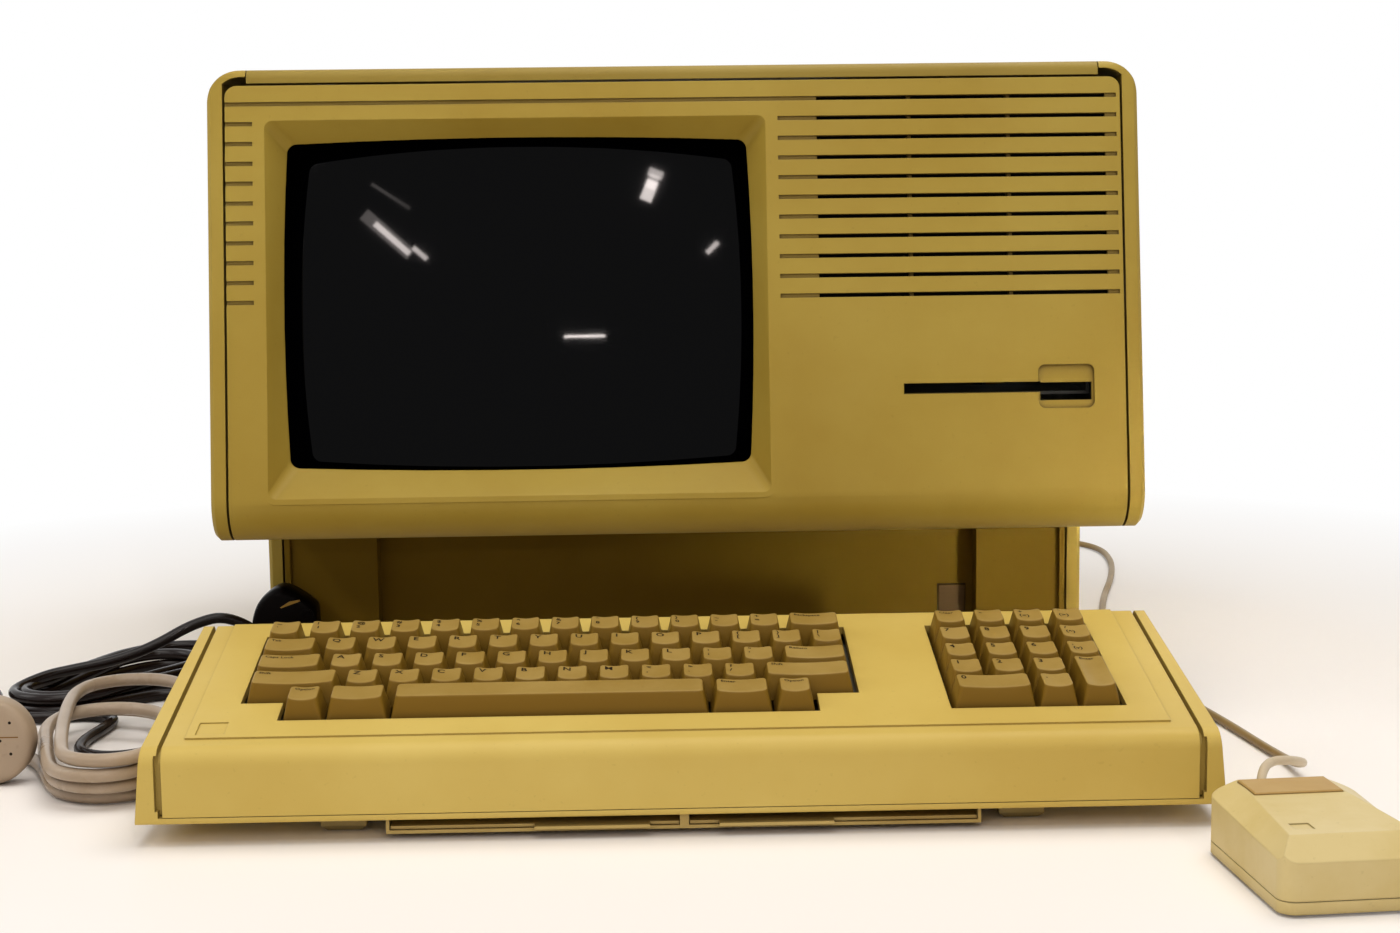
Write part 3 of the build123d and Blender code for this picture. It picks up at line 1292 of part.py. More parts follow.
def pad_key(column, row, units=1, length=1):
    """Place of a number-pad key; column and row are those of its lower left cell."""
    x = PAD_LEFT + KEY_MARGIN + (column + units / 2) * PITCH
    w = KEYS_FRONT + KEY_MARGIN + (row + length / 2) * PITCH
    return (x, w, units, row, length)


NUMBER_ROW = main_row(4, [1] * 13 + [1.5])
UPPER_ROW = main_row(3, [1.5] + [1] * 13)
HOME_ROW = main_row(2, [1.75] + [1] * 11 + [1.75])
LOWER_ROW = main_row(1, [2.25] + [1] * 10 + [2.25])
BOTTOM_ROW = main_row(0, [1, 1.5, 7.5, 1.5, 1], inset=1)
PAD_KEYS = [pad_key(column, row) for row in (4, 3, 2) for column in range(PAD_COLUMNS)]
PAD_KEYS += [pad_key(column, 1) for column in range(3)] + [pad_key(0, 0, units=2), pad_key(2, 0)]
KEY_NODES = {
    "number_row_keys": NUMBER_ROW[:-1],
    "backspace_key": NUMBER_ROW[-1:],
    "upper_row_keys": UPPER_ROW,
    "caps_key": HOME_ROW[:1],
    "home_row_keys": HOME_ROW[1:-1],
    "return_key": HOME_ROW[-1:],
    "shift_keys": [LOWER_ROW[0], LOWER_ROW[-1]],
    "lower_row_keys": LOWER_ROW[1:-1],
    "bottom_row_keys": BOTTOM_ROW[:2] + BOTTOM_ROW[3:],
    "space_bar": BOTTOM_ROW[2:3],
    "numpad_keys": PAD_KEYS,
    "numpad_enter_key": [pad_key(3, 0, length=2)],
}


def key_group(places):
    """The keycaps of one node, each a solid of its own."""
    return Compound([DECK * Pos(x, w, 0) * key(units, row, length) for x, w, units, row, length in places])


def switch_plate():
    """Metal plate under the keys with a square guide for each stem."""
    length, half = (KEYS_FRONT - PLATE_FRONT, KEY_PANEL_TOP + PLATE_BACK), KB_COVER_HALF - PLATE_SIDE
    plate = slab(-half, half, *length, -PLATE_DEPTH - PLATE, -PLATE_DEPTH)
    holes = [
        Pos(x, w, -PLATE_DEPTH) * Box(STEM + 2 * FIT, STEM + 2 * FIT, 4 * PLATE)
        for places in KEY_NODES.values()
        for x, w, *_ in places
    ]
    half = KB_POST / 2
    spacers = [
        slab(x - half, x + half, w - half, w + half, -KEY_BOARD_DEPTH + FIT, -PLATE_DEPTH - PLATE)
        for x in KB_POSTS
        for w in (KEYS_FRONT, KEY_PANEL_TOP + PLATE_POST_BACK)
    ]
    return DECK * (plate - holes + spacers)


def key_circuit_board():
    """Circuit board under the switch plate."""
    length, half = (KEYS_FRONT - PLATE_FRONT, KEY_PANEL_TOP + PLATE_BACK), KB_COVER_HALF - PLATE_SIDE
    low = -KEY_BOARD_DEPTH - BOARD
    return DECK * slab(-half, half, *length, low, low + BOARD)


# ---------------------------------------------------------------- mouse
def mouse_section(y, rim, flat, inset):
    """Cross-section of the mouse's shell at a distance y behind its middle."""
    half, top = MOUSE_WIDTH / 2 - inset, MOUSE_HEIGHT - inset
    rim_z, flat_x = rim - inset, flat - inset
    low = MOUSE_PARTING + (0 if inset == 0 else -EDGE)
    points = [(-half, low), (half, low), (half, rim_z), (flat_x, top), (-flat_x, top), (-half, rim_z)]
    return Plane(
        origin=(0, y, 0),
        x_dir=(1, 0, 0),
        z_dir=(0, -1, 0),
    ) * make_face(Polyline(*points, close=True))


def mouse_hull(inset):
    """Shell of the mouse as a solid: wedge-shaped bevels at the sides and a front bevel."""
    half_length = MOUSE_LENGTH / 2 - inset
    half, front_rim = MOUSE_WIDTH / 2, MOUSE_HEIGHT - MOUSE_FRONT_DROP
    rear = mouse_section(half_length, MOUSE_HEIGHT - MOUSE_REAR_DROP, half - MOUSE_REAR_BEVEL, inset)
    front = mouse_section(-half_length, front_rim, half - MOUSE_FRONT_BEVEL, inset)
    hull = loft([rear, front], ruled=True)
    hinge = Pos(0, -half_length, front_rim - inset) * Rot(X=MOUSE_NOSE_ANGLE)
    hull = hull - hinge * slab(-MOUSE_WIDTH, MOUSE_WIDTH, -MOUSE_HEIGHT, MOUSE_LENGTH / 2, 0, MOUSE_HEIGHT)
    corners = extrude(
        rounded(MOUSE_WIDTH - 2 * inset, MOUSE_LENGTH - 2 * inset, MOUSE_CORNER - inset),
        MOUSE_HEIGHT,
    )
    return hull & corners


def mouse_button_block(clearance):
    """Button at the rear top of the mouse."""
    half = MOUSE_BUTTON_WIDTH / 2 + clearance
    back = MOUSE_LENGTH / 2 - MOUSE_BUTTON_INSET
    low = MOUSE_HEIGHT - MOUSE_WALL - MOUSE_BUTTON_TRAVEL - 2 * FIT
    front = back - MOUSE_BUTTON_LENGTH - clearance
    return slab(-half, half, front, back + clearance, low, MOUSE_HEIGHT + MOUSE_BUTTON_PROUD)


def mouse_shell():
    """Upper shell with the button's opening and the cord's short gland."""
    shell = mouse_hull(0) - mouse_hull(MOUSE_WALL)
    emblem = Pos(
        MOUSE_EMBLEM_X,
        MOUSE_EMBLEM_Y,
        MOUSE_HEIGHT,
    ) * Box(MOUSE_EMBLEM, MOUSE_EMBLEM, 2 * EMBLEM_DEPTH)
    shell = shell - mouse_button_block(FIT) - emblem
    back = MOUSE_LENGTH / 2
    gland = Pos(0, back, GLAND_RISE) * Rot(X=-90) * Cone(
        GLAND_RADIUS,
        GLAND_TIP,
        GLAND_LENGTH,
        align=(Align.CENTER, Align.CENTER, Align.MIN),
    )
    return MOUSE * (shell + gland)


def mouse_button():
    """Single button, which sinks by its travel."""
    block = mouse_button_block(0)
    return MOUSE * chamfer(block.faces().sort_by(Axis.Z)[-1].edges(), MOUSE_BUTTON_BEVEL)


def mouse_base():
    """Bottom plate with skids, the ball's well and the rollers' bearings."""
    plate = Pos(0, 0, MOUSE_SKID) * extrude(
        rounded(MOUSE_WIDTH, MOUSE_LENGTH, MOUSE_CORNER), MOUSE_PARTING - FIT - MOUSE_SKID
    )
    hollow = Pos(0, 0, MOUSE_SKID + MOUSE_FLOOR) * extrude(
        rounded(MOUSE_WIDTH - 4 * MOUSE_WALL, MOUSE_LENGTH - 4 * MOUSE_WALL, MOUSE_CORNER / 2), MOUSE_HEIGHT
    )
    high, radius = BALL_RADIUS + WELL_RISE, BALL_RADIUS + WELL_PLAY + WELL_WALL
    well = Pos(0, BALL_Y, (MOUSE_SKID + high) / 2) * Cylinder(radius, high - MOUSE_SKID)
    bore = Pos(0, BALL_Y, BALL_RADIUS) * Cylinder(BALL_RADIUS + WELL_PLAY, 4 * BALL_RADIUS)
    half, reach = SKID_WIDTH / 2, SKID_LENGTH / 2
    skids = [slab(-reach, reach, y - half, y + half, 0, MOUSE_SKID) for y in (-SKID_PLACE, SKID_PLACE)]
    ring_seat = Pos(0, BALL_Y, MOUSE_SKID) * Cylinder(RING_RADIUS + FIT, 2 * MOUSE_FLOOR)
    base = plate - hollow + well + skids - bore - ring_seat
    reach = BALL_RADIUS + ROLLER_RADIUS + ROLLER_PLAY
    room = ROLLER_LENGTH + 2 * FIT
    gap, tall = 2 * ROLLER_RADIUS + EDGE, 2 * (BALL_RADIUS - RING_RADIUS / 2 + MOUSE_FLOOR)
    gap_across = Pos(-reach, BALL_Y, BALL_RADIUS) * Box(gap, room, tall)
    gap_along = Pos(0, BALL_Y + reach, BALL_RADIUS) * Box(room, gap, tall)
    base = base - gap_across - gap_along
    return MOUSE * (base + roller_bearings())


def roller_bearings():
    """Four upright bearing blocks for the two rollers' axles."""
    reach = BALL_RADIUS + ROLLER_RADIUS + ROLLER_PLAY
    end = ROLLER_LENGTH / 2 + FIT
    low, high = MOUSE_SKID + MOUSE_FLOOR, BEARING_TOP
    blocks = []
    bores = []
    for sign in (-1, 1):
        near, far = sign * end, sign * (end + BEARING)
        blocks.append(slab(-reach - BEARING_OUT, -reach + BEARING_IN, BALL_Y + near, BALL_Y + far, low, high))
        blocks.append(slab(near, far, BALL_Y + reach - BEARING_IN, BALL_Y + reach + BEARING_OUT, low, high))
    bores.append(
        Pos(-reach, BALL_Y, BALL_RADIUS) * Rot(X=90) * Cylinder(
            ROLLER_AXLE + ROLLER_PLAY,
            3 * ROLLER_LENGTH,
        )
    )
    bores.append(
        Pos(0, BALL_Y + reach, BALL_RADIUS) * Rot(Y=90) * Cylinder(
            ROLLER_AXLE + ROLLER_PLAY,
            3 * ROLLER_LENGTH,
        )
    )
    ball_room = Pos(0, BALL_Y, BALL_RADIUS) * Cylinder(BALL_RADIUS + WELL_PLAY, 4 * BALL_RADIUS)
    return Part() + blocks - bores - ball_room


def roller():
    """A roller along Y with its thin axle, on its own centre."""
    body = Rot(X=90) * Cylinder(ROLLER_RADIUS, ROLLER_LENGTH)
    return body + Rot(X=90) * Cylinder(ROLLER_AXLE, ROLLER_LENGTH + 2 * (FIT + AXLE_STUB))


def across_roller():
    """Roller at the ball's left, for movement across."""
    return MOUSE * Pos(-BALL_RADIUS - ROLLER_RADIUS - ROLLER_PLAY, BALL_Y, BALL_RADIUS) * roller()


def along_roller():
    """Roller behind the ball, for movement along."""
    return MOUSE * Pos(
        0,
        BALL_Y + BALL_RADIUS + ROLLER_RADIUS + ROLLER_PLAY,
        BALL_RADIUS,
    ) * Rot(Z=90) * roller()


def mouse_ball():
    """Rubber-coated ball that rolls on the table, with the narrow land its mould leaves."""
    land = Rot(Y=90) * Cylinder(BALL_RADIUS - ROLLER_PLAY, 2 * BALL_RADIUS)
    return MOUSE * Pos(0, BALL_Y, BALL_RADIUS) * (Sphere(BALL_RADIUS) & land)


def ball_ring():
    """Twist-off ring that keeps the ball in."""
    ring = Cylinder(RING_RADIUS, RING_HEIGHT) - Cylinder(BALL_RADIUS - RING_LIP, 2 * RING_HEIGHT)
    notch = Box(RING_NOTCH, 2 * RING_NOTCH, RING_HEIGHT / 2)
    notches = [Pos(sign * (RING_RADIUS - RING_NOTCH), 0, -RING_HEIGHT / 2) * notch for sign in (-1, 1)]
    return MOUSE * Pos(0, BALL_Y, MOUSE_SKID + RING_HEIGHT / 2 + RING_SEAT) * (ring - notches)


# ---------------------------------------------------------------- leads
MOUSE_ROUTE = [
    (MOUSE_PORT_X, BACK + 13, MOUSE_PORT_Z), (MOUSE_PORT_X, BACK + 45, 30), (205, BACK + 87, 14), (226, 325, 3),
    (258, 362, 2.1), (298, 368, 2.1),
    (322, 335, 2.1), (320, 278, 2.1), (306, 212, 2.1), (285, 140, 2.1), (270, 70, 2.1), (262, -10, 2.1),
    (263, -90, 2.1), (270, -150, 2.1), (279, -205, 2.1), (284.5, -250, 2.1), (289, -284, 3), (286, -312, 11),
    (273, -332, 18), (259, -344, 21), (250, -364, 19), (245.132, -386.191, 12), (245.842, -395.163, 12),
]
MAINS_ROUTE = [
    (-354, -262.5, 21), (-382, -262.5, 21), (-408, -243, 16), (-399, -212, 9.5), (-367, -203, 4.5),
    (-338, -214, 3.25), (-318, -236, 3.25), (-308, -258, 3.25), (-301, -278, 3.25), (-291, -297, 3.25),
    (-268, -306, 3.25), (-247.5, -292, 3.25), (-247.8, -246, 9.95), (-250, -208, 9.95), (-262, -183, 9.95),
    (-281, -163, 9.95), (-303, -158, 9.95), (-320, -168, 9.95), (-324.5, -189, 9.95), (-320, -216, 9.95),
    (-311.6, -246, 9.95), (-302, -276, 9.95), (-291, -304, 9.95), (-268, -313, 9.95), (-247.5, -299, 9.95),
    (-247.8, -253, 16.65), (-254, -216, 16.65), (-269, -192, 16.65), (-290, -183, 16.65), (-309, -190, 16.65),
    (-317, -209, 16.65), (-314, -233, 16.65), (-307, -258, 16.65), (-300, -284, 16.65), (-291, -309, 16.65),
    (-268, -318, 16.65), (-247.5, -304, 16.65), (-247.8, -258, 23.35), (-248, -205, 23.35),
    (-255, -170, 23.35), (-272, -150, 23.35), (-293, -147, 23.35), (-309, -158, 23.35), (-313, -180, 23.35),
    (-309, -210, 23.35), (-302.6, -244, 23.35), (-295, -278, 23.35), (-286.5, -309.5, 23.35),
    (-264.5, -317, 23.35), (-246, -303.5, 23.55), (-247.8, -258, 30.05), (-250, -212, 30.05),
    (-254, -168, 30.05), (-258, -120, 20), (-258.5, -75, 6), (-256.5, -20, 3.25), (-258, 50, 3.25),
    (-255, 130, 3.25), (-256, 200, 3.25), (-243, BACK + 47, 4.5), (-215, BACK + 69, 14),
    (INLET_X - 15, BACK + 69, 30), (INLET_X, BACK + 47, INLET_Z), (INLET_X, BACK + 19, INLET_Z),
]
BLACK_TAIL = [(-304, -46, 17), (-287, -48, 32), (-265, -47, 37), (-242, -45, 28)]


def arc_radii(points):
    """Radius of each corner of a route: 0.45 of its shorter run over the tangent of half the turn."""
    radii = []
    for before, corner, after in zip(points, points[1:], points[2:]):
        first, second = Vector(*corner) - Vector(*before), Vector(*after) - Vector(*corner)
        half_turn = radians(first.get_angle(second) / 2)
        radii.append(0.45 * min(first.length, second.length) / tan(half_turn))
    return radii


def lead(name, points, diameter):
    """A round cord along straight runs joined by tangent arcs."""
    radii = arc_radii(points)
    path = FilletPolyline(*points, radius=radii)
    start = Plane(origin=path @ 0, z_dir=path % 0)
    tube = sweep(start * Circle(diameter / 2), path=path)
    share = tube.volume / (Circle(diameter / 2).area * path.length)
    print(f"{name}: length {path.length:.0f}, radii {[round(r) for r in radii]}, volume share {share:.4f}")
    return tube


def mains_plug():
    """Round mains plug on its edge, its wide face forwards and its two pins behind."""
    body = Pos(PLUG_X, PLUG_Y, PLUG_RADIUS) * Rot(X=90) * Cylinder(PLUG_RADIUS, PLUG_DEPTH)
    body = fillet(body.edges().filter_by(GeomType.CIRCLE), PLUG_EDGE)
    gland = Pos(MAINS_ROUTE[0][0], PLUG_Y, PLUG_RADIUS) * Rot(Y=90) * Cylinder(
        MAINS_CORD * 0.75, PLUG_X - MAINS_ROUTE[0][0], align=(Align.CENTER, Align.CENTER, Align.MIN)
    )
    back = PLUG_Y + PLUG_DEPTH / 2
    pin = Rot(X=90) * Cylinder(MAINS_PIN, MAINS_PIN_LENGTH + 2 * EDGE)
    middle = back + MAINS_PIN_LENGTH / 2 - EDGE
    pins = [Pos(PLUG_X + side * PIN_SPACING / 2, middle, PLUG_RADIUS) * pin for side in (-1, 1)]
    return body + gland + pins


def inlet_connector():
    """Plug of the mains lead in the machine's inlet, with its strain relief."""
    front = PORT_Y + PORT_SETBACK / 2
    x = INLET_WIDTH / 2 - INLET_RIM - NOSE_PLAY
    z = INLET_HEIGHT / 2 - INLET_RIM - NOSE_PLAY
    near, far = BACK + GRIP_START, BACK + GRIP_START + GRIP_LENGTH
    nose = slab(INLET_X - x, INLET_X + x, front, near, INLET_Z - z, INLET_Z + z)
    x, z = x + GRIP_LAP, z + GRIP_LAP
    grip = slab(INLET_X - x, INLET_X + x, near, far, INLET_Z - z, INLET_Z + z)
    relief = Pos(INLET_X, far, INLET_Z) * Rot(X=-90) * Cylinder(
        MAINS_CORD * 0.8, MAINS_ROUTE[-1][1] - far, align=(Align.CENTER, Align.CENTER, Align.MIN)
    )
    return nose + grip + relief


def mouse_cord():
    """Mouse lead with the small connector at the machine's back."""
    tube = lead("mouse_cord", MOUSE_ROUTE, MOUSE_CORD)
    start = BACK + FIT
    x, z = HOOD_WIDTH / 2, HOOD_HEIGHT / 2
    hood = slab(
        MOUSE_PORT_X - x,
        MOUSE_PORT_X + x,
        start,
        MOUSE_ROUTE[0][1],
        MOUSE_PORT_Z - z,
        MOUSE_PORT_Z + z,
    )
    return tube + hood


def black_lead():
    """Spare lead folded into a flat hank, with the short tail to its plug."""
    upper = outline(HANK_UPPER, [HANK_CORNER] * len(HANK_UPPER))
    lower = outline(HANK_LOWER, [HANK_CORNER] * len(HANK_LOWER))
    hank = extrude(lower, BLACK_CORD) + extrude(upper, HANK_HEIGHT)
    tail = lead("black_tail", BLACK_TAIL, BLACK_CORD)
    beyond = slab(BLACK_PLUG_SIDE[0][0], 0, -DEPTH, DEPTH, -EDGE, HEIGHT)
    return hank + (tail - beyond)


def black_plug():
    """Plug of the spare lead, standing on the table beside the pedestal."""
    profile = outline(BLACK_PLUG_SIDE, BLACK_PLUG_RADII)
    body = Pos(0, BLACK_PLUG_Y, 0) * extrude(Plane.XZ * profile, BLACK_PLUG_DEPTH / 2, both=True)
    return body


def black_socket():
    """Connector at the other end of the spare lead, lying on the table."""
    half = SOCKET_BODY / 2
    return Pos(*SOCKET_PLACE) * slab(-SOCKET_LENGTH, 0, -half, half, 0, SOCKET_RISE)


def main():
    """Writes every sub-part."""
    os.makedirs("parts", exist_ok=True)
    write("side_shell_left", side_shell(-1))
    write("side_shell_right", side_shell(1))
    write("top_cover", top_cover())
    write("front_bezel", front_bezel())
    write("recess_panel", recess_panel())
    write("power_button", power_button())
    write("base_pan", base_pan())
    write("base_feet", base_feet())
    write("rear_cover", rear_cover())
    write("cover_screws", cover_screws())
    write("port_panel", port_panel())
    write("port_connectors", port_connectors())
    write("mains_inlet", mains_inlet())
    write("chassis", chassis())
    write("crt_tube", crt_tube())
    write("deflection_yoke", deflection_yoke())
    write("video_board", video_board())
    write("power_supply", power_supply())
    write("card_cage", card_cage())
    write("backplane", backplane())
    write("plug_in_boards", plug_in_boards())
    write("drive_frame", drive_frame())
    write("disk_cradle", disk_cradle())
    write("spindle_hub", spindle_hub())
    write("head_carriage", head_carriage())
    write("lead_screw", lead_screw())
    write("keyboard_base", keyboard_base())
    write("keyboard_cover", keyboard_cover())
    write("switch_plate", switch_plate())
    write("key_circuit_board", key_circuit_board())
    write("keyboard_feet", keyboard_feet())
    write("card_tray", card_tray())
    write("reference_card_left", reference_card(-1))
    write("reference_card_right", reference_card(1))
    for name, places in KEY_NODES.items():
        write(name, key_group(places))
    write("mouse_shell", mouse_shell())
    write("mouse_base", mouse_base())
    write("mouse_button", mouse_button())
    write("mouse_ball", mouse_ball())
    write("across_roller", across_roller())
    write("along_roller", along_roller())
    write("ball_ring", ball_ring())
    write("mouse_cord", mouse_cord())
    write("mains_lead", lead("mains_lead", MAINS_ROUTE, MAINS_CORD))
    write("mains_plug", mains_plug())
    write("inlet_connector", inlet_connector())
    write("black_lead", black_lead())
    write("black_plug", black_plug())
    write("black_socket", black_socket())


main()
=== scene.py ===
"""Dressed view of an early all-in-one desktop computer with keyboard, mouse and leads."""
import math

import bmesh
import bpy
from mathutils import Matrix, Vector


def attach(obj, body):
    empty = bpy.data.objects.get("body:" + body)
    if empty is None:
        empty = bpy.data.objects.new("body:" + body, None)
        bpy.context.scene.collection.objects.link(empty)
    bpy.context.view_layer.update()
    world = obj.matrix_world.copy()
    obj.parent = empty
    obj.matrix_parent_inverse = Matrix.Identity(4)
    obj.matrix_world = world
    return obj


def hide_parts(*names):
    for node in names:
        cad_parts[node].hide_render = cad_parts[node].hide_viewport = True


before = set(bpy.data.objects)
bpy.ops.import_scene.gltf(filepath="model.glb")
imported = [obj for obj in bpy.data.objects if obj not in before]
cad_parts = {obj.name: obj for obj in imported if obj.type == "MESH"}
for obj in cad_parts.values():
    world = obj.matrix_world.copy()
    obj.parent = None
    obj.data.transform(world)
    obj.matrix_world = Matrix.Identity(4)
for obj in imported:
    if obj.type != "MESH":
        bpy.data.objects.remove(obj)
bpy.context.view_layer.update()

scene = bpy.context.scene
MM = 0.001  # sizes of pieces are in millimetres, the scene is in metres


# ---------------------------------------------------------------- camera
CAMERA_PLACE = Vector((-19.5094, -1316.2365, 287.6768))
CAMERA_YAW, CAMERA_TILT, CAMERA_ROLL = 1.5, 7.5884, -0.6873  # degrees
CAMERA_LENS = 57.694  # on a 36 mm wide sensor


def rgb(red, green, blue):
    """A colour as seen on a screen, 0 to 255, as the linear colour that shaders take."""
    def linear(value):
        value /= 255
        return value / 12.92 if value <= 0.04045 else ((value + 0.055) / 1.055) ** 2.4
    return (linear(red), linear(green), linear(blue), 1)


def look(yaw, pitch, roll):
    """Camera axes: right, up and back, for a heading towards +X, a tilt down and a roll."""
    ahead = Vector((math.sin(yaw) * math.cos(pitch), math.cos(yaw) * math.cos(pitch), -math.sin(pitch)))
    right = Vector((math.cos(yaw), -math.sin(yaw), 0))
    up = right.cross(ahead)
    turned_right = right * math.cos(roll) + up * math.sin(roll)
    turned_up = up * math.cos(roll) - right * math.sin(roll)
    return turned_right, turned_up, -ahead


def add_camera():
    camera = bpy.data.objects.new("camera", bpy.data.cameras.new("camera"))
    scene.collection.objects.link(camera)
    axes = look(math.radians(CAMERA_YAW), math.radians(CAMERA_TILT), math.radians(CAMERA_ROLL))
    place = Matrix([(*row, 0) for row in Matrix(axes).transposed()] + [(0, 0, 0, 1)])
    camera.matrix_world = Matrix.Translation(CAMERA_PLACE * MM) @ place
    camera.data.sensor_fit = "HORIZONTAL"
    camera.data.sensor_width = 36
    camera.data.lens = CAMERA_LENS
    camera.data.clip_end = 60
    scene.camera = camera


# ---------------------------------------------------------------- table, room and lamps
FLOOR_DROP = 0.0004  # the table lies this far below the feet
TABLE_MIDDLE, FADE_START, FADE_END = (0, -0.1, 0), 0.42, 0.85  # the table runs out into white between these
LAMPS = [  # name, place, target, width and length, watts, colour, spread in degrees
    ("overhead", (0.25, -0.25, 2.0), (0.05, -0.1, 0.1), (2.2, 1.3), 32, (1, 0.97, 0.92), 180),
    ("front_high", (-0.2, -1.7, 1.8), (0, -0.2, 0.12), (1.3, 0.4), 7, (1, 0.975, 0.93), 180),
    ("right_low", (1.2, -1.6, 0.22), (0.22, 0.03, 0.065), (0.25, 0.15), 0.12, (1, 0.98, 0.95), 9),
    ("left_window", (-1.8, -0.2, 1.3), (0, -0.2, 0.1), (1.0, 1.0), 8.5, (1, 0.98, 0.95), 180),
]
SCREEN_MIDDLE = Vector((-0.081, -0.16, 0.22))
TUBE_SPREAD, TUBE_COLOUR = 60, (1, 0.9, 0.86)
TUBES = [  # start, end, width, watts
    ((-1.894, -4.193, 2.3), (-1.492, -4.636, 1.99), 0.13, 0.44),  # the long one at the left, its glow
    ((-1.8, -4.298, 2.229), (-1.502, -4.626, 1.998), 0.06, 1.0),  # and its bright part
    ((-1.459, -4.618, 2.061), (-1.317, -4.7, 1.945), 0.05, 0.3),
    ((0.888, -3.5, 2.3), (0.89, -3.58, 2.3), 0.13, 0.28),  # the one at the right, from its top down
    ((0.89, -3.62, 2.3), (0.892, -3.76, 2.3), 0.09, 0.24),
    ((0.893, -3.76, 2.3), (0.898, -3.97, 2.3), 0.11, 1.0),
    ((0.136, -5.066, 1.141), (0.566, -5.032, 1.143), 0.022, 0.8),  # the level one
    ((1.642, -4.551, 1.959), (1.754, -4.469, 2.063), 0.05, 0.28),
    ((-1.583, -3.66, 2.3), (-1.429, -4.08, 2.3), 0.03, 0.04),
    ((-2.066, -2.976, 2.3), (-1.9, -3.033, 2.3), 0.05, 0.14),
]


def add_lamp(name, place, target, size, watts, colour, spread):
    """A rectangular lamp that faces a target."""
    lamp = bpy.data.lights.new(name, "AREA")
    lamp.shape = "RECTANGLE"
    lamp.size, lamp.size_y = size
    lamp.energy = watts
    lamp.color = colour
    lamp.spread = math.radians(spread)
    holder = bpy.data.objects.new(name, lamp)
    scene.collection.objects.link(holder)
    holder.location = place
    holder.rotation_euler = (Vector(target) - Vector(place)).to_track_quat("-Z", "Y").to_euler()
    return holder


def add_tube(start, end, width, watts):
    """A lamp tube between two points, facing the screen, to be seen in its glass."""
    start, end = Vector(start), Vector(end)
    middle = (start + end) / 2
    size = ((end - start).length, width)
    lamp = add_lamp("tube", middle, SCREEN_MIDDLE, size, watts, TUBE_COLOUR, TUBE_SPREAD)
    back = (middle - SCREEN_MIDDLE).normalized()
    along = (end - start) - back * (end - start).dot(back)
    across = back.cross(along.normalized())
    axes = Matrix((along.normalized(), across, back)).transposed()
    lamp.rotation_euler = axes.to_euler()


def mix_shaders(tree, factor, first, second):
    node = tree.nodes.new("ShaderNodeMixShader")
    for socket, output in zip(node.inputs, (factor, first, second)):
        tree.links.new(output, socket)
    return node.outputs[0]


def seen_or_mirrored(tree):
    """1 for rays from the camera and for those that shiny and clear pieces send on, else 0."""
    ray = tree.nodes.new("ShaderNodeLightPath")
    share = ray.outputs["Is Camera Ray"]
    for kind in ("Is Glossy Ray", "Is Transmission Ray"):
        either = tree.nodes.new("ShaderNodeMath")
        either.operation = "MAXIMUM"
        tree.links.new(share, either.inputs[0])
        tree.links.new(ray.outputs[kind], either.inputs[1])
        share = either.outputs[0]
    return share


def add_table():
    """White table that keeps the object's shadow and runs out into plain white."""
    bpy.ops.mesh.primitive_plane_add(size=40, location=(0, 0, -FLOOR_DROP))
    floor = bpy.context.object
    floor.name = "floor"
    table = bpy.data.materials.new("table")
    table.use_nodes = True
    tree = table.node_tree
    nodes, links = tree.nodes, tree.links
    surface = nodes["Principled BSDF"]
    surface.inputs["Base Color"].default_value = (0.93, 0.89, 0.86, 1)
    surface.inputs["Roughness"].default_value = 0.55
    surface.inputs["Specular IOR Level"].default_value = 0.25
    white = nodes.new("ShaderNodeEmission")
    place = nodes.new("ShaderNodeNewGeometry")
    reach = nodes.new("ShaderNodeVectorMath")
    reach.operation = "DISTANCE"
    reach.inputs[1].default_value = TABLE_MIDDLE
    links.new(place.outputs["Position"], reach.inputs[0])
    fade = spread(tree, reach.outputs["Value"], FADE_START, FADE_END)
    share = nodes.new("ShaderNodeMath")
    share.operation = "MULTIPLY"
    links.new(fade, share.inputs[0])
    links.new(seen_or_mirrored(tree), share.inputs[1])
    shown = mix_shaders(tree, share.outputs[0], surface.outputs[0], white.outputs[0])
    links.new(shown, nodes["Material Output"].inputs["Surface"])
    floor.data.materials.append(table)


def add_room():
    """White background, which shiny pieces mirror too, soft warm light from all sides, and the lamps."""
    world = bpy.data.worlds.new("room")
    scene.world = world
    world.use_nodes = True
    tree = world.node_tree

    def background(colour, strength):
        node = tree.nodes.new("ShaderNodeBackground")
        node.inputs["Color"].default_value = colour
        node.inputs["Strength"].default_value = strength
        return node.outputs[0]

    soft = background((1.0, 0.97, 0.92, 1), 0.17)
    seen = background((1, 1, 1, 1), 1)
    shown = mix_shaders(tree, seen_or_mirrored(tree), soft, seen)
    tree.links.new(shown, tree.nodes["World Output"].inputs["Surface"])
    for lamp in LAMPS:
        add_lamp(*lamp)
    for tube in TUBES:
        add_tube(*tube)


# ---------------------------------------------------------------- materials
STREAK_SCALE, STREAK_SHARE = 34, 0.22
SPECK_SCALE, SPECK_SHARE = 420, 0.08
WEAR_SCALE = 16


def noise(tree, coords, scale, detail, roughness=0.55):
    texture = tree.nodes.new("ShaderNodeTexNoise")
    texture.inputs["Scale"].default_value = scale
    texture.inputs["Detail"].default_value = detail
    texture.inputs["Roughness"].default_value = roughness
    tree.links.new(coords, texture.inputs["Vector"])
    return texture.outputs["Fac"]


def spread(tree, value, low, high, start=0.0, end=1.0):
    """A value moved from low..high to start..end."""
    node = tree.nodes.new("ShaderNodeMapRange")
    tree.links.new(value, node.inputs["Value"])
    for name, number in (("From Min", low), ("From Max", high), ("To Min", start), ("To Max", end)):
        node.inputs[name].default_value = number
    return node.outputs[0]


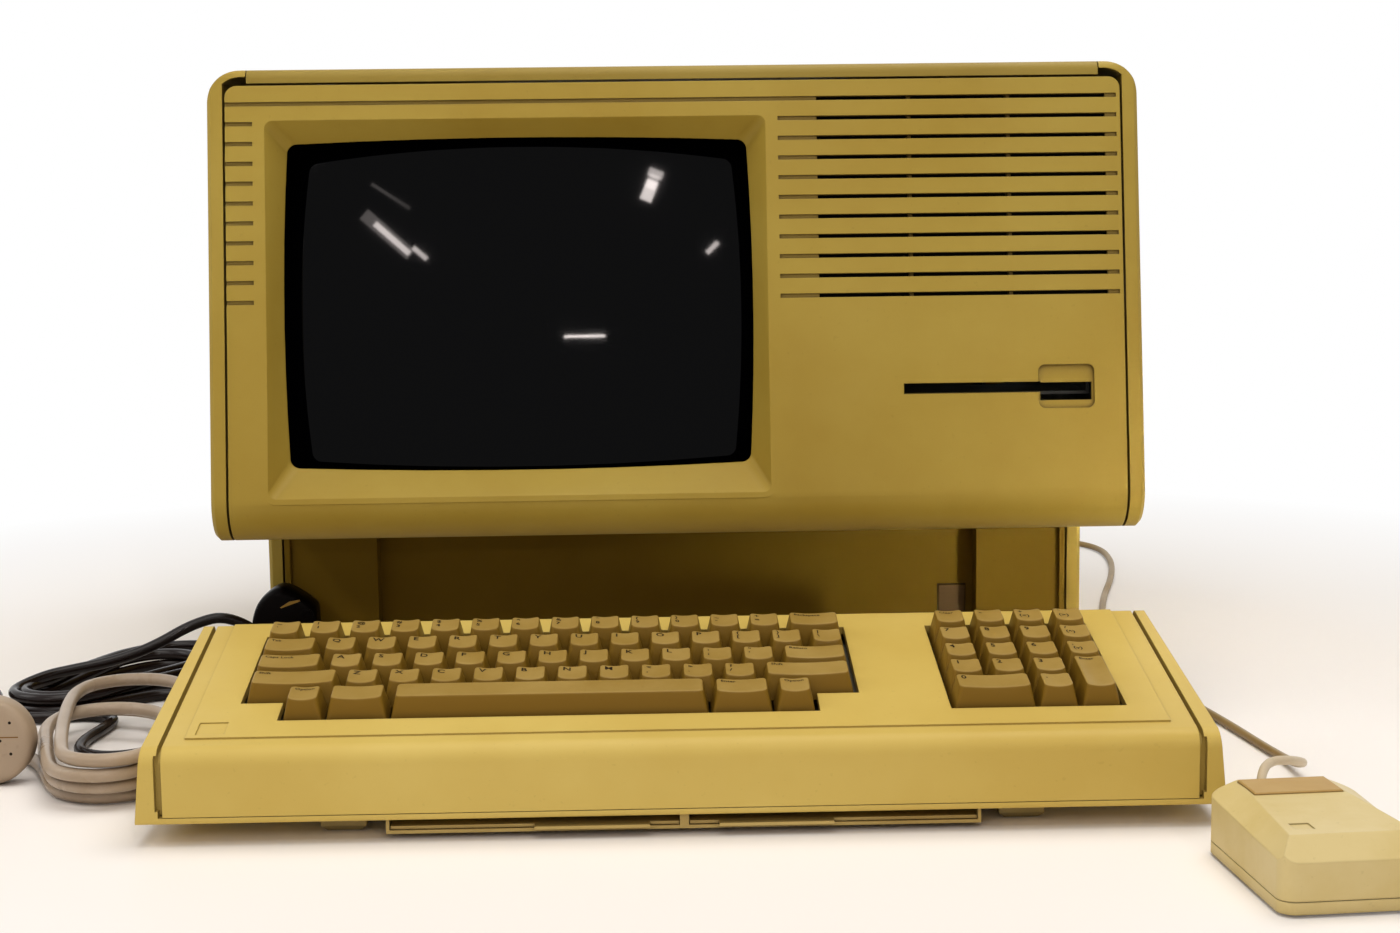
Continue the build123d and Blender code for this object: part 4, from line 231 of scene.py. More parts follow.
def blend_colours(tree, factor, first, second):
    """Mixes two colours, each a colour or a socket."""
    node = tree.nodes.new("ShaderNodeMix")
    node.data_type = "RGBA"
    for name, value in (("Factor", factor), ("A", first), ("B", second)):
        socket = node.inputs[name]
        if isinstance(value, bpy.types.NodeSocket):
            tree.links.new(value, socket)
        else:
            socket.default_value = value
    return node.outputs["Result"]


def coordinate(tree, coords, axis):
    """One coordinate, X, Y or Z, of a vector socket."""
    parts = tree.nodes.new("ShaderNodeSeparateXYZ")
    tree.links.new(coords, parts.inputs[0])
    return parts.outputs[axis]


def moulded(name, colour, aged, rough=0.45, grain=1400, relief=0.05 * MM, corner=0.6 * MM, painted_shade=0.45,
            specular=0.16, dirt_and_shade=(70, 48, 18), blotch=7, crevice=6 * MM, paler=None, sides=None):
    """Moulded plastic: uneven yellowing, painted shade that darkens crevices and gaps between parts, small
    dirt specks, a fine grain, softened edges.

    grain and blotch are noise scales, per metre. paler is a colour that takes over where Y is
    below the two given distances; sides is painted shade, a darker colour for faces that don't face up.
    """
    mat = bpy.data.materials.new(name)
    mat.use_nodes = True
    tree = mat.node_tree
    shader = tree.nodes["Principled BSDF"]
    coords = tree.nodes.new("ShaderNodeTexCoord").outputs["Object"]
    clouds = spread(tree, noise(tree, coords, blotch, 5, 0.6), 0.35, 0.68)
    skin = blend_colours(tree, clouds, colour, aged)
    if paler:
        nearer, pale_at, full_at = paler
        far = spread(tree, coordinate(tree, coords, "Y"), pale_at, full_at)
        skin = blend_colours(tree, far, nearer, skin)
    streaks = spread(tree, noise(tree, coords, STREAK_SCALE, 6, 0.7), 0.5, 0.8, 0, STREAK_SHARE)
    skin = blend_colours(tree, streaks, skin, aged)
    # painted shade: faces that don't face up, such as the keys' fronts, take the darker sides colour
    if sides:
        normal = tree.nodes.new("ShaderNodeTexCoord").outputs["Normal"]
        skin = blend_colours(tree, spread(tree, coordinate(tree, normal, "Z"), 0.45, 0.9), sides, skin)
    dots = spread(tree, noise(tree, coords, SPECK_SCALE, 2, 0.4), 0.70, 0.76, 0, SPECK_SHARE)
    skin = blend_colours(tree, dots, skin, rgb(*dirt_and_shade))
    # painted shade: ambient occlusion darkens crevices, recesses and gaps between parts towards the dark
    # colour that the dirt specks also use
    if painted_shade:
        hollow = tree.nodes.new("ShaderNodeAmbientOcclusion")
        hollow.samples = 6
        hollow.inputs["Distance"].default_value = crevice
        shade = spread(tree, hollow.outputs["AO"], 0.35, 0.95, painted_shade, 0)
        skin = blend_colours(tree, shade, skin, rgb(*dirt_and_shade))
    tree.links.new(skin, shader.inputs["Base Color"])
    wear = spread(tree, noise(tree, coords, WEAR_SCALE, 4, 0.6), 0.3, 0.7, rough - 0.07, rough + 0.08)
    tree.links.new(wear, shader.inputs["Roughness"])
    shader.inputs["Specular IOR Level"].default_value = specular
    bump = tree.nodes.new("ShaderNodeBump")
    bump.inputs["Strength"].default_value = 0.35
    bump.inputs["Distance"].default_value = relief
    tree.links.new(noise(tree, coords, grain, 2, 0.5), bump.inputs["Height"])
    if corner:
        edges = tree.nodes.new("ShaderNodeBevel")
        edges.samples = 4
        edges.inputs["Radius"].default_value = corner
        tree.links.new(edges.outputs[0], bump.inputs["Normal"])
    tree.links.new(bump.outputs[0], shader.inputs["Normal"])
    return mat


def polished(name, colour, rough=0.05, specular=0.5, metallic=0.0, smudge=0.03):
    """Glass, metal and glossy pieces: a smooth face with faint smudges in its gloss."""
    mat = bpy.data.materials.new(name)
    mat.use_nodes = True
    tree = mat.node_tree
    shader = tree.nodes["Principled BSDF"]
    coords = tree.nodes.new("ShaderNodeTexCoord").outputs["Object"]
    darker = tuple(channel * 0.8 for channel in colour[:3]) + (1,)
    skin = blend_colours(tree, spread(tree, noise(tree, coords, 9, 4), 0.35, 0.65), colour, darker)
    tree.links.new(skin, shader.inputs["Base Color"])
    gloss = spread(tree, noise(tree, coords, 22, 5, 0.65), 0.35, 0.75, rough, rough + smudge)
    tree.links.new(gloss, shader.inputs["Roughness"])
    shader.inputs["Specular IOR Level"].default_value = specular
    shader.inputs["Metallic"].default_value = metallic
    return mat


def dress(mat, *nodes):
    """Gives CAD pieces a material."""
    for name in nodes:
        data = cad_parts[name].data
        data.materials.clear()
        data.materials.append(mat)


def make_materials():
    return {
        # The crevice darkening amounts below are painted shade; the dark colours serve both the dirt specks
        # and that shade.
        "casing": moulded("casing", rgb(172, 148, 64), rgb(160, 133, 50), rough=0.42, painted_shade=0.75,
                          crevice=8 * MM),
        "top": moulded("casing_top", rgb(152, 130, 56), rgb(140, 117, 44), rough=0.42, painted_shade=0.75,
                       crevice=8 * MM),
        "recess": moulded("recess_plastic", rgb(128, 101, 28), rgb(115, 88, 20), rough=0.55, painted_shade=0.3,
                          specular=0.05),
        "keyboard": moulded("keyboard_casing", rgb(208, 182, 98), rgb(198, 169, 84), rough=0.40, painted_shade=0.5,
                            dirt_and_shade=(104, 80, 30)),
        # keycaps: their sides colour is painted shade on the key fronts
        "keys": moulded("keycaps", rgb(162, 134, 73), rgb(148, 119, 56), rough=0.38, grain=1900,
                        relief=0.04 * MM, corner=0, painted_shade=0.5, blotch=30, crevice=4 * MM, specular=0.11,
                        sides=rgb(124, 94, 28)),
        "mouse": moulded("mouse_casing", rgb(214, 194, 138), rgb(203, 180, 116), rough=0.42, grain=1100,
                         relief=0.12 * MM, corner=1.2 * MM, painted_shade=0.4, blotch=16),
        "button": moulded("mouse_button_tan", rgb(188, 157, 100), rgb(176, 142, 84), rough=0.5,
                          corner=0.4 * MM, painted_shade=0.3, blotch=20),
        "power": moulded("button_grey", rgb(106, 82, 42), rgb(94, 70, 34), corner=0.4 * MM, painted_shade=0.5),
        "pan": moulded("pan_plastic", rgb(112, 88, 32), rgb(98, 74, 22), rough=0.6, painted_shade=0.4),
        "card": moulded("card", rgb(196, 172, 106), rgb(170, 142, 78), rough=0.35, corner=0.2 * MM,
                        painted_shade=0.5, specular=0.2),
        "foot": moulded("foot_rubber", rgb(178, 160, 112), rgb(160, 142, 92), rough=0.75, grain=700,
                        painted_shade=0.3),
        # near-black sheet behind the louvres: painted shade for the dark inside
        "screen": moulded("shade_sheet", rgb(20, 16, 9), rgb(14, 11, 6), rough=0.8, corner=0, painted_shade=0),
        "sheet": polished("sheet_metal", rgb(138, 132, 116), rough=0.45, metallic=0.8, smudge=0.15),
        "screw": polished("screw_metal", rgb(160, 154, 140), rough=0.3, metallic=0.9, smudge=0.15),
        "drive": polished("drive_metal", rgb(74, 71, 66), rough=0.4, metallic=0.8, smudge=0.2),
        "glass": polished("tube_glass", rgb(1, 1, 2), rough=0.03, specular=0.06, smudge=0.02),
        "board": moulded("circuit_board", rgb(46, 84, 52), rgb(36, 66, 42), rough=0.4, corner=0, painted_shade=0.2,
                         dirt_and_shade=(20, 30, 18)),
        "inlet": moulded("inlet_plastic", rgb(38, 36, 34), rgb(30, 28, 27), painted_shade=0.2, dirt_and_shade=(60, 56, 50)),
        "grey_lead": moulded("grey_lead", rgb(176, 158, 138), rgb(160, 140, 116), rough=0.30, grain=500,
                             relief=0.03 * MM, corner=0, painted_shade=0.5, specular=0.2, blotch=24),
        "mouse_lead": moulded("mouse_lead", rgb(150, 126, 84), rgb(134, 110, 66), rough=0.38, grain=600,
                              relief=0.03 * MM, corner=0, painted_shade=0.3, blotch=10,
                              paler=(rgb(196, 178, 148), -0.30, -0.27)),
        "black_lead": moulded("black_rubber", rgb(30, 20, 17), rgb(20, 13, 11), rough=0.22, grain=500,
                              relief=0.03 * MM, corner=0, painted_shade=0, specular=0.2, dirt_and_shade=(90, 70, 56)),
        "black_plug": moulded("black_plug_plastic", rgb(10, 6, 5), rgb(6, 4, 3), rough=0.3, grain=900,
                              relief=0.04 * MM, corner=0, painted_shade=0, specular=0.03, dirt_and_shade=(60, 48, 38)),
        "plug": moulded("plug_plastic", rgb(176, 156, 134), rgb(162, 142, 118), rough=0.42, grain=800,
                        corner=0, painted_shade=0.4),
        "seam": polished("plug_seam", rgb(128, 92, 40), rough=0.5, specular=0.12, smudge=0.1),
        # dark ink of the legends, also used for the painted shade of the mains plug's holes
        "print_and_hole_shade": polished("legend_print_and_hole_shade", rgb(30, 19, 8), rough=0.5, specular=0.08, smudge=0.1),
        # brass of the mains plug's pins, also the colour of the painted highlight on the spare lead's plug
        "pin_and_highlight_metal": polished("pins_and_painted_highlight", rgb(168, 132, 64), rough=0.3, metallic=0.9, smudge=0.15),
    }


# ---------------------------------------------------------------- mesh helpers
def piece_from(name, mesh, mat, body, replaces=(), smooth=None):
    """Links a mesh as a piece of the object, riding on a body."""
    item = bpy.data.objects.new(name, mesh)
    scene.collection.objects.link(item)
    item.data.materials.append(mat)
    if smooth is not None:
        for face in mesh.polygons:
            face.use_smooth = True
        mesh.set_sharp_from_angle(angle=math.radians(smooth))
    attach(item, body)
    if replaces:
        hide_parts(*replaces)
    return item


def mesh_from(work, name):
    mesh = bpy.data.meshes.new(name)
    work.normal_update()
    work.to_mesh(mesh)
    work.free()
    return mesh


def outward(work):
    """Turns every face outwards."""
    bmesh.ops.recalc_face_normals(work, faces=work.faces)


def turns(count):
    """Angles of evenly spaced directions, all the way round."""
    return [2 * math.pi * step / count for step in range(count)]


def plane_matrix(origin, lean):
    """A plane's axes: across, up it, and outwards, for a plane turned about X."""
    return Matrix.Translation(Vector(origin) * MM) @ Matrix.Rotation(lean, 4, "X") @ Matrix.Scale(MM, 4)


DECK = plane_matrix((-3.5, -372.7, 41.8), math.radians(10.5))
FACE = plane_matrix((0, -193, 100.5), math.radians(90 - 9.1))


def round_ring(width, length, radius, count, between=0):
    """Points of a rectangle with round corners, centred: count per corner and some between corners."""
    x, y = width / 2 - radius, length / 2 - radius
    points = []
    for corner, (sx, sy) in enumerate(((1, 1), (-1, 1), (-1, -1), (1, -1))):
        for step in range(count):
            angle = math.radians(90 * (corner + step / (count - 1)))
            points.append((sx * x + radius * math.cos(angle), sy * y + radius * math.sin(angle)))
        if between and corner in (0, 2):
            start, end = points[-1][0], -sx * x
            for step in range(1, between + 1):
                points.append((start + (end - start) * step / (between + 1), points[-1][1]))
    return points


def skin_rings(work, rings):
    """Faces between rings of vertices of the same length, and one over each end."""
    for low, high in zip(rings, rings[1:]):
        for index in range(len(low)):
            after = (index + 1) % len(low)
            work.faces.new((low[index], low[after], high[after], high[index]))
    work.faces.new(rings[-1])
    work.faces.new(rings[0][::-1])


# ---------------------------------------------------------------- keyboard keys
PITCH = 19.05
KEYS_FRONT, KEY_MARGIN = 29.05, 1.15
MAIN_LEFT, PAD_LEFT = -197.8, 120.1
ROW_TOPS = (9.4, 9.0, 9.0, 9.4, 10.2)
KEY_BASE, KEY_TOP_WIDTH, KEY_TOP_LENGTH, KEY_TOP_BACK = 18.2, 12.8, 14.0, 1.3
KEY_SKIRT, KEY_RIM, KEY_INNER_RADIUS, KEY_DISH = 3.0, 0.9, 1.7, 1.0
STEM, STEM_LENGTH = 5.0, 6.8
PRINT_HEIGHT = 0.07  # legends lie this far above the keytop


def row_middle(row):
    return KEYS_FRONT + KEY_MARGIN + (row + 0.5) * PITCH


def main_row(row, labels, widths, inset=0.0):
    """(x, up the deck, units, row, length, label) of each key of a main-block row."""
    x = MAIN_LEFT + KEY_MARGIN + inset * PITCH
    places = []
    for label, units in zip(labels, widths):
        places.append((x + units * PITCH / 2, row_middle(row), units, row, 1, label))
        x += units * PITCH
    return places


def pad_key(column, row, label, units=1, length=1):
    x = PAD_LEFT + KEY_MARGIN + (column + units / 2) * PITCH
    w = KEYS_FRONT + KEY_MARGIN + (row + length / 2) * PITCH
    return (x, w, units, row, length, label)


def key_rows():
    number = main_row(4, ["~ `", "! 1", "@ 2", "# 3", "$ 4", "% 5", "^ 6", "& 7", "* 8", "( 9", ") 0",
                          "_ -", "+ =", "Backspace"], [1] * 13 + [1.5])
    upper = main_row(3, ["Tab"] + list("QWERTYUIOP") + ["{ [", "} ]", "| \\"], [1.5] + [1] * 13)
    home = main_row(2, ["Caps Lock"] + list("ASDFGHJKL") + [": ;", "\" '", "Return"],
                    [1.75] + [1] * 11 + [1.75])
    lower = main_row(1, ["Shift"] + list("ZXCVBNM") + ["< ,", "> .", "? /", "Shift"],
                     [2.25] + [1] * 10 + [2.25])
    bottom = main_row(0, ["Option", "", "", "Enter", "Option"], [1, 1.5, 7.5, 1.5, 1], inset=1)
    pad = [pad_key(c, 4, label) for c, label in enumerate(("Clear", "-", "+ (<)", "* (>)"))]
    pad += [pad_key(c, 3, label) for c, label in enumerate(("7", "8", "9", "/ (^)"))]
    pad += [pad_key(c, 2, label) for c, label in enumerate(("4", "5", "6", ", (v)"))]
    pad += [pad_key(c, 1, label) for c, label in enumerate(("1", "2", "3"))]
    pad += [pad_key(0, 0, "0", units=2), pad_key(2, 0, ".")]
    return {
        "number_row_keys": number[:-1],
        "backspace_key": number[-1:],
        "upper_row_keys": upper,
        "caps_key": home[:1],
        "home_row_keys": home[1:-1],
        "return_key": home[-1:],
        "shift_keys": [lower[0], lower[-1]],
        "lower_row_keys": lower[1:-1],
        "bottom_row_keys": bottom[:2] + bottom[3:],
        "space_bar": bottom[2:3],
        "numpad_keys": pad,
        "numpad_enter_key": [pad_key(3, 0, "Enter", length=2)],
    }


def dish_at(x, half, long_bar):
    """How far the keytop lies below its side edges."""
    if long_bar:
        return 0.0
    return KEY_DISH * (1 - min(1.0, (x / half) ** 2))


def add_key(work, units, row, length, place):
    """One sculpted keycap: drafted sides with round corners, a rounded rim and a dished top."""
    wide, deep = (units - 1) * PITCH, (length - 1) * PITCH
    top = ROW_TOPS[row]
    long_bar = units > 4
    half = (KEY_TOP_WIDTH + wide) / 2
    rings = []  # width, length, height, corner radius and shift to the back of each
    for share in (0.0, 0.03, 0.5, 0.93):
        rings.append((KEY_BASE + wide + (KEY_TOP_WIDTH - KEY_BASE) * share,
                      KEY_BASE + deep + (KEY_TOP_LENGTH - KEY_BASE) * share,
                      -KEY_SKIRT + (top + KEY_SKIRT) * share, 0.9 + 1.5 * share, KEY_TOP_BACK * share))
    for angle in (25, 50, 72):
        turn = math.radians(angle)
        inward = KEY_RIM * (1 - math.cos(turn))
        rings.append((KEY_TOP_WIDTH + wide + 0.35 - 2 * inward, KEY_TOP_LENGTH + deep + 0.35 - 2 * inward,
                      top - KEY_RIM * (1 - math.sin(turn)), 2.3 - inward * 0.6, KEY_TOP_BACK))
    inner = (KEY_TOP_WIDTH + wide - 2.0, KEY_TOP_LENGTH + deep - 2.0)
    rings.append((*inner, top, KEY_INNER_RADIUS, KEY_TOP_BACK))
    made = []
    for w, d, z, radius, back in rings:
        up = (z + KEY_SKIRT) / (top + KEY_SKIRT)
        sinks = max(0.0, min(1.0, up * 4 - 3))  # only the top quarter of the sides follows the dish
        made.append([work.verts.new(place @ Vector((x, y + back, z - dish_at(x, half, long_bar) * sinks)))
                     for x, y in round_ring(w, d, radius, 5, 5)])
    for share in (0.72, 0.45, 0.2):
        ring = []
        for x, y in round_ring(*inner, KEY_INNER_RADIUS, 5, 5):
            x, y = x * share, y * share
            z = top - dish_at(x, half, long_bar)
            ring.append(work.verts.new(place @ Vector((x, y + KEY_TOP_BACK, z))))
        made.append(ring)
    skin_rings(work, made)
    corners = [(sx * STEM / 2, sy * STEM / 2) for sx, sy in ((1, 1), (-1, 1), (-1, -1), (1, -1))]
    stem = [[work.verts.new(place @ Vector((x, y, z))) for x, y in corners]
            for z in (-KEY_SKIRT - STEM_LENGTH, -KEY_SKIRT + 0.2)]
    skin_rings(work, stem)


def letter_mesh(text, size):
    """A flat text as a mesh, its lower left corner at the origin."""
    curve = bpy.data.curves.new("letters", "FONT")
    curve.body = text
    curve.size = size
    curve.resolution_u = 2
    curve.offset = size * 0.02
    curve.space_character = 1.05
    holder = bpy.data.objects.new("letters", curve)
    mesh = bpy.data.meshes.new_from_object(holder)
    bpy.data.objects.remove(holder)
    bpy.data.curves.remove(curve)
    return mesh


def add_legend(work, label, units, row, length, place):
    """Printed legend of one key, at the upper left of its top."""
    if not label:
        return
    wide, deep = (units - 1) * PITCH, (length - 1) * PITCH
    half = (KEY_TOP_WIDTH + wide) / 2
    left = -half + 1.9
    far = (KEY_TOP_LENGTH + deep) / 2 + KEY_TOP_BACK - 1.5
    if len(label) == 1:
        prints = [(label, 5.0, far - 3.6)]
    elif " " in label and len(label) < 6:
        upper, lower = label.split(" ", 1)
        prints = [(upper, 4.0, far - 3.0), (lower, 4.0, far - 7.6)]
    else:
        prints = [(label, 2.9, far - 2.2)]
    for text, size, y in prints:
        mesh = letter_mesh(text, size)
        start = len(work.verts)
        work.from_mesh(mesh)
        bpy.data.meshes.remove(mesh)
        work.verts.ensure_lookup_table()
        for vert in list(work.verts)[start:]:
            x = vert.co.x + left
            z = ROW_TOPS[row] - dish_at(x, half, units > 4) + PRINT_HEIGHT
            vert.co = place @ Vector((x, vert.co.y + y, z))


def add_keys(mats):
    for name, places in key_rows().items():
        caps, prints = bmesh.new(), bmesh.new()
        for x, w, units, row, length, label in places:
            place = DECK @ Matrix.Translation((x, w, 0))
            add_key(caps, units, row, length, place)
            add_legend(prints, label, units, row, length, place)
        piece_from(f"{name}_caps", mesh_from(caps, name), mats["keys"], name, [name], smooth=40)
        if len(prints.verts):
            piece_from(f"{name}_legends", mesh_from(prints, name), mats["print_and_hole_shade"], name)
        else:
            prints.free()


# ---------------------------------------------------------------- screen
TUBE_PLACE = FACE @ Matrix.Translation((-81.1, 122.9, 0))
GLASS_WIDTH, GLASS_HEIGHT, GLASS_CORNER = 256.0, 190.0, 16.0
GLASS_DOME = 640.0  # radius of the tube's face
GLASS_SETBACK = 16.5  # middle of the tube's face behind the front panel's
SKIRT_BACK = 60.0
FUNNEL_AND_NECK = ((24, -150), (14.5, -170), (14.5, -265))  # radius, depth
EAR_INNER, EAR_OUTER, EAR_LOW, EAR_HIGH, EAR_BACK, EAR_FRONT = 124.5, 136, 71, 79, -40, -32
SHADE_SHEET_SIDES, SHADE_SHEET_ENDS, SHADE_SHEET_DEPTHS = (56, 224), (118, 230), (-10.6, -10)  # of the dark sheet behind the louvres, painted shade for the dark inside


def glass_edge(angle):
    """Where the glass's outline lies in a direction from its middle."""
    x, y = math.cos(angle), math.sin(angle)
    reach = min(GLASS_WIDTH / 2 / max(abs(x), 1e-6), GLASS_HEIGHT / 2 / max(abs(y), 1e-6))
    cx, cy = GLASS_WIDTH / 2 - GLASS_CORNER, GLASS_HEIGHT / 2 - GLASS_CORNER
    if abs(x) * reach > cx and abs(y) * reach > cy:
        along = abs(x) * cx + abs(y) * cy
        reach = along + math.sqrt(max(along ** 2 - cx ** 2 - cy ** 2 + GLASS_CORNER ** 2, 0))
    return Vector((x * reach, y * reach, 0))


def add_glass(mats):
    """Picture tube: a domed front, a skirt, a funnel, a neck and four ears."""
    work = bmesh.new()
    angles = turns(120)
    edge = [glass_edge(angle) for angle in angles]
    rings = []

    def add_ring(points):
        rings.append([work.verts.new(TUBE_PLACE @ point) for point in points])

    for share in [0.02] + [step / 18 for step in range(1, 19)]:
        flat = [point * share for point in edge]
        sag = [GLASS_DOME - math.sqrt(GLASS_DOME ** 2 - point.length_squared) for point in flat]
        add_ring([point + Vector((0, 0, -GLASS_SETBACK - drop)) for point, drop in zip(flat, sag)])
    add_ring([point + Vector((0, 0, -SKIRT_BACK)) for point in edge])
    for radius, depth in FUNNEL_AND_NECK:
        add_ring([Vector((radius * math.cos(angle), radius * math.sin(angle), depth)) for angle in angles])
    skin_rings(work, rings[::-1])
    ear = ((EAR_INNER, EAR_LOW), (EAR_OUTER, EAR_LOW), (EAR_OUTER, EAR_HIGH), (EAR_INNER, EAR_HIGH))
    for sx in (-1, 1):
        for sy in (-1, 1):
            skin_rings(work, [[work.verts.new(TUBE_PLACE @ Vector((sx * x, sy * y, depth))) for x, y in ear]
                              for depth in (EAR_BACK, EAR_FRONT)])
    outward(work)
    piece_from("crt_tube_glass", mesh_from(work, "glass"), mats["glass"], "machine", ["crt_tube"],
               40)


def add_louvre_shade_sheet(mats):
    """Dark sheet behind the louvres: painted shade for the dark inside of the machine."""
    work = bmesh.new()
    (left, right), (low, high) = SHADE_SHEET_SIDES, SHADE_SHEET_ENDS
    corners = [(left, low), (right, low), (right, high), (left, high)]
    skin_rings(work, [[work.verts.new(FACE @ Vector((x, y, depth))) for x, y in corners]
                      for depth in SHADE_SHEET_DEPTHS])
    piece_from("louvre_shade_sheet", mesh_from(work, "shade_sheet"), mats["screen"], "front_bezel")


# ---------------------------------------------------------------- leads
MOUSE_ROUTE = [
    (196, 206, 34), (196, 238, 30), (205, 280, 14), (226, 325, 3), (258, 362, 2.1), (298, 368, 2.1),
    (322, 335, 2.1), (320, 278, 2.1), (306, 212, 2.1), (285, 140, 2.1), (270, 70, 2.1), (262, -10, 2.1),
    (263, -90, 2.1), (270, -150, 2.1), (279, -205, 2.1), (284.5, -250, 2.1), (289, -284, 3), (286, -312, 11),
    (273, -332, 18), (259, -344, 21), (250, -364, 19), (245.132, -386.191, 12), (245.842, -395.163, 12),
]
MAINS_ROUTE = [
    (-354, -262.5, 21), (-382, -262.5, 21), (-408, -243, 16), (-399, -212, 9.5), (-367, -203, 4.5),
    (-338, -214, 3.25), (-318, -236, 3.25), (-308, -258, 3.25), (-301, -278, 3.25), (-291, -297, 3.25),
    (-268, -306, 3.25), (-247.5, -292, 3.25), (-247.8, -246, 9.95), (-250, -208, 9.95), (-262, -183, 9.95),
    (-281, -163, 9.95), (-303, -158, 9.95), (-320, -168, 9.95), (-324.5, -189, 9.95), (-320, -216, 9.95),
    (-311.6, -246, 9.95), (-302, -276, 9.95), (-291, -304, 9.95), (-268, -313, 9.95), (-247.5, -299, 9.95),
    (-247.8, -253, 16.65), (-254, -216, 16.65), (-269, -192, 16.65), (-290, -183, 16.65), (-309, -190, 16.65),
    (-317, -209, 16.65), (-314, -233, 16.65), (-307, -258, 16.65), (-300, -284, 16.65), (-291, -309, 16.65),
    (-268, -318, 16.65), (-247.5, -304, 16.65), (-247.8, -258, 23.35), (-248, -205, 23.35),
    (-255, -170, 23.35), (-272, -150, 23.35), (-293, -147, 23.35), (-309, -158, 23.35), (-313, -180, 23.35),
    (-309, -210, 23.35), (-302.6, -244, 23.35), (-295, -278, 23.35), (-286.5, -309.5, 23.35),
    (-264.5, -317, 23.35), (-246, -303.5, 23.55), (-247.8, -258, 30.05), (-250, -212, 30.05),
    (-254, -168, 30.05), (-258, -120, 20), (-258.5, -75, 6), (-256.5, -20, 3.25), (-258, 50, 3.25),
    (-255, 130, 3.25), (-256, 200, 3.25), (-243, 240, 4.5), (-215, 262, 14), (-185, 262, 30),
    (-170, 240, 42), (-170, 212, 42),
]


def add_cord(name, points, diameter, mat, node):
    """A round cord on one smooth curve."""
    curve = bpy.data.curves.new(name, "CURVE")
    curve.dimensions = "3D"
    curve.bevel_depth = diameter / 2 * MM
    curve.bevel_resolution = 4
    curve.resolution_u = 8
    curve.use_fill_caps = True
    spline = curve.splines.new("NURBS")
    spline.points.add(len(points) - 1)
    for target, point in zip(spline.points, points):
        target.co = (*(value * MM for value in point), 1)
    spline.order_u = 3
    spline.use_endpoint_u = True
    item = bpy.data.objects.new(name, curve)
    scene.collection.objects.link(item)
    curve.materials.append(mat)
    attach(item, "machine")
    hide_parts(node)
    return item


def hank_turn(front, back, bend, back_bend, high):
    """One oblong turn of the spare lead round two middles, sixteen points, anticlockwise from above."""
    front, back = Vector((*front, high)), Vector((*back, high))
    ahead = (back - front).normalized()
    side = Vector((ahead.y, -ahead.x, 0))
    places = []
    for middle, turned, radius in ((front, -1, bend), (back, 1, back_bend)):
        step = ahead * (2 * radius * math.sin(math.radians(18)) * turned)
        places.append(middle + side * turned * radius - step)
        for index in range(6):
            turn = math.radians(36 * index)
            places.append(middle + (side * math.cos(turn) + ahead * math.sin(turn)) * radius * turned)
        places.append(middle - side * turned * radius - step)
    return [tuple(place) for place in places]


def black_route():
    """The spare lead from its plug, down onto the hank, its turns, and a loop on the table."""
    points = [(-244, -45, 28), (-257, -46, 37), (-277, -50, 33), (-298, -61, 22), (-318, -72, 16.5),
              (-338, -82, 14.5), (-352, -90, 13)]
    points += hank_turn((-338, -106), (-290, -30), 27, 34, 9.3)[2:]
    points += hank_turn((-338, -106), (-298, -42), 20.8, 22, 9.3)
    points += hank_turn((-338, -106), (-294, -44), 20.8, 24, 3.1)
    points += hank_turn((-338, -106), (-290, -60), 27, 27, 3.1)[:8]
    points += [(-303, -110, 3.1), (-287, -97, 3.1), (-270, -98, 3.1), (-260, -116, 3.1), (-258, -150, 3.1),
               (-259, -204, 3.1), (-267, -226, 3.1), (-286, -233, 3.1), (-302, -221, 3.1), (-305, -198, 3.1),
               (-300, -172, 3.1), (-299, -150, 3.1), (-315, -141, 3.1), (-333, -146, 3.1), (-352, -149, 3.6),
               (-370, -141, 5.5), (-371, -103, 8), (-386, -102, 8)]
    return points


RELIEF_RINGS, RELIEF_SHARE = 32, 0.86  # how far it follows the lead's first bend
RELIEF_THICK, RELIEF_THIN, RELIEF_GROOVE = 5.1, 3.6, 0.35  # radii and depth of its grooves


def add_relief(mats):
    """Ribbed, tapered strain relief along the start of the mains lead."""
    work = bmesh.new()
    last, middle, first = (Vector(point) for point in MAINS_ROUTE[-3:])
    rings = []
    for index in range(RELIEF_RINGS + 1):
        t = index / RELIEF_RINGS * RELIEF_SHARE
        place = first * (1 - t) ** 2 + middle * (2 * t - 1.5 * t * t) + last * 0.5 * t * t
        ahead = (middle - first) * 2 * (1 - t) + (last - middle) * t
        side = Vector((1, 0, 0))
        side = (side - ahead * side.dot(ahead) / ahead.length_squared).normalized()
        above = ahead.normalized().cross(side)
        radius = RELIEF_THICK - (RELIEF_THICK - RELIEF_THIN) * index / RELIEF_RINGS
        radius -= RELIEF_GROOVE if index % 4 > 1 else 0
        rings.append([work.verts.new((place + (side * math.cos(a) + above * math.sin(a)) * radius) * MM)
                      for a in turns(24)])
    skin_rings(work, rings)
    outward(work)
    return piece_from("inlet_strain_relief", mesh_from(work, "relief"), mats["grey_lead"], "machine",
                      smooth=50)


def add_leads(mats):
    plug = add_mains_plug(mats)
    relief = add_relief(mats)
    mains = add_cord("mains_lead_cord", MAINS_ROUTE[::-1], 6.5, mats["grey_lead"], "mains_lead")
    hood = add_hood(mats)
    mouse = add_cord("mouse_cord_line", MOUSE_ROUTE, 4.2, mats["mouse_lead"], "mouse_cord")
    black = add_cord("black_lead_cord", black_route(), 6.2, mats["black_lead"], "black_lead")
    ends = [*add_black_plug(mats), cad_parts["black_socket"]]


HOOD_PLACE = (196, 34)  # X and Z of the mouse socket's middle
HOOD_RINGS = [  # Y, width, height, corner radius
    (193.3, 23, 11, 2), (194.3, 24, 12, 2.5), (201, 24, 12, 2.5), (204.5, 17, 10, 3), (206, 9, 8, 3),
]


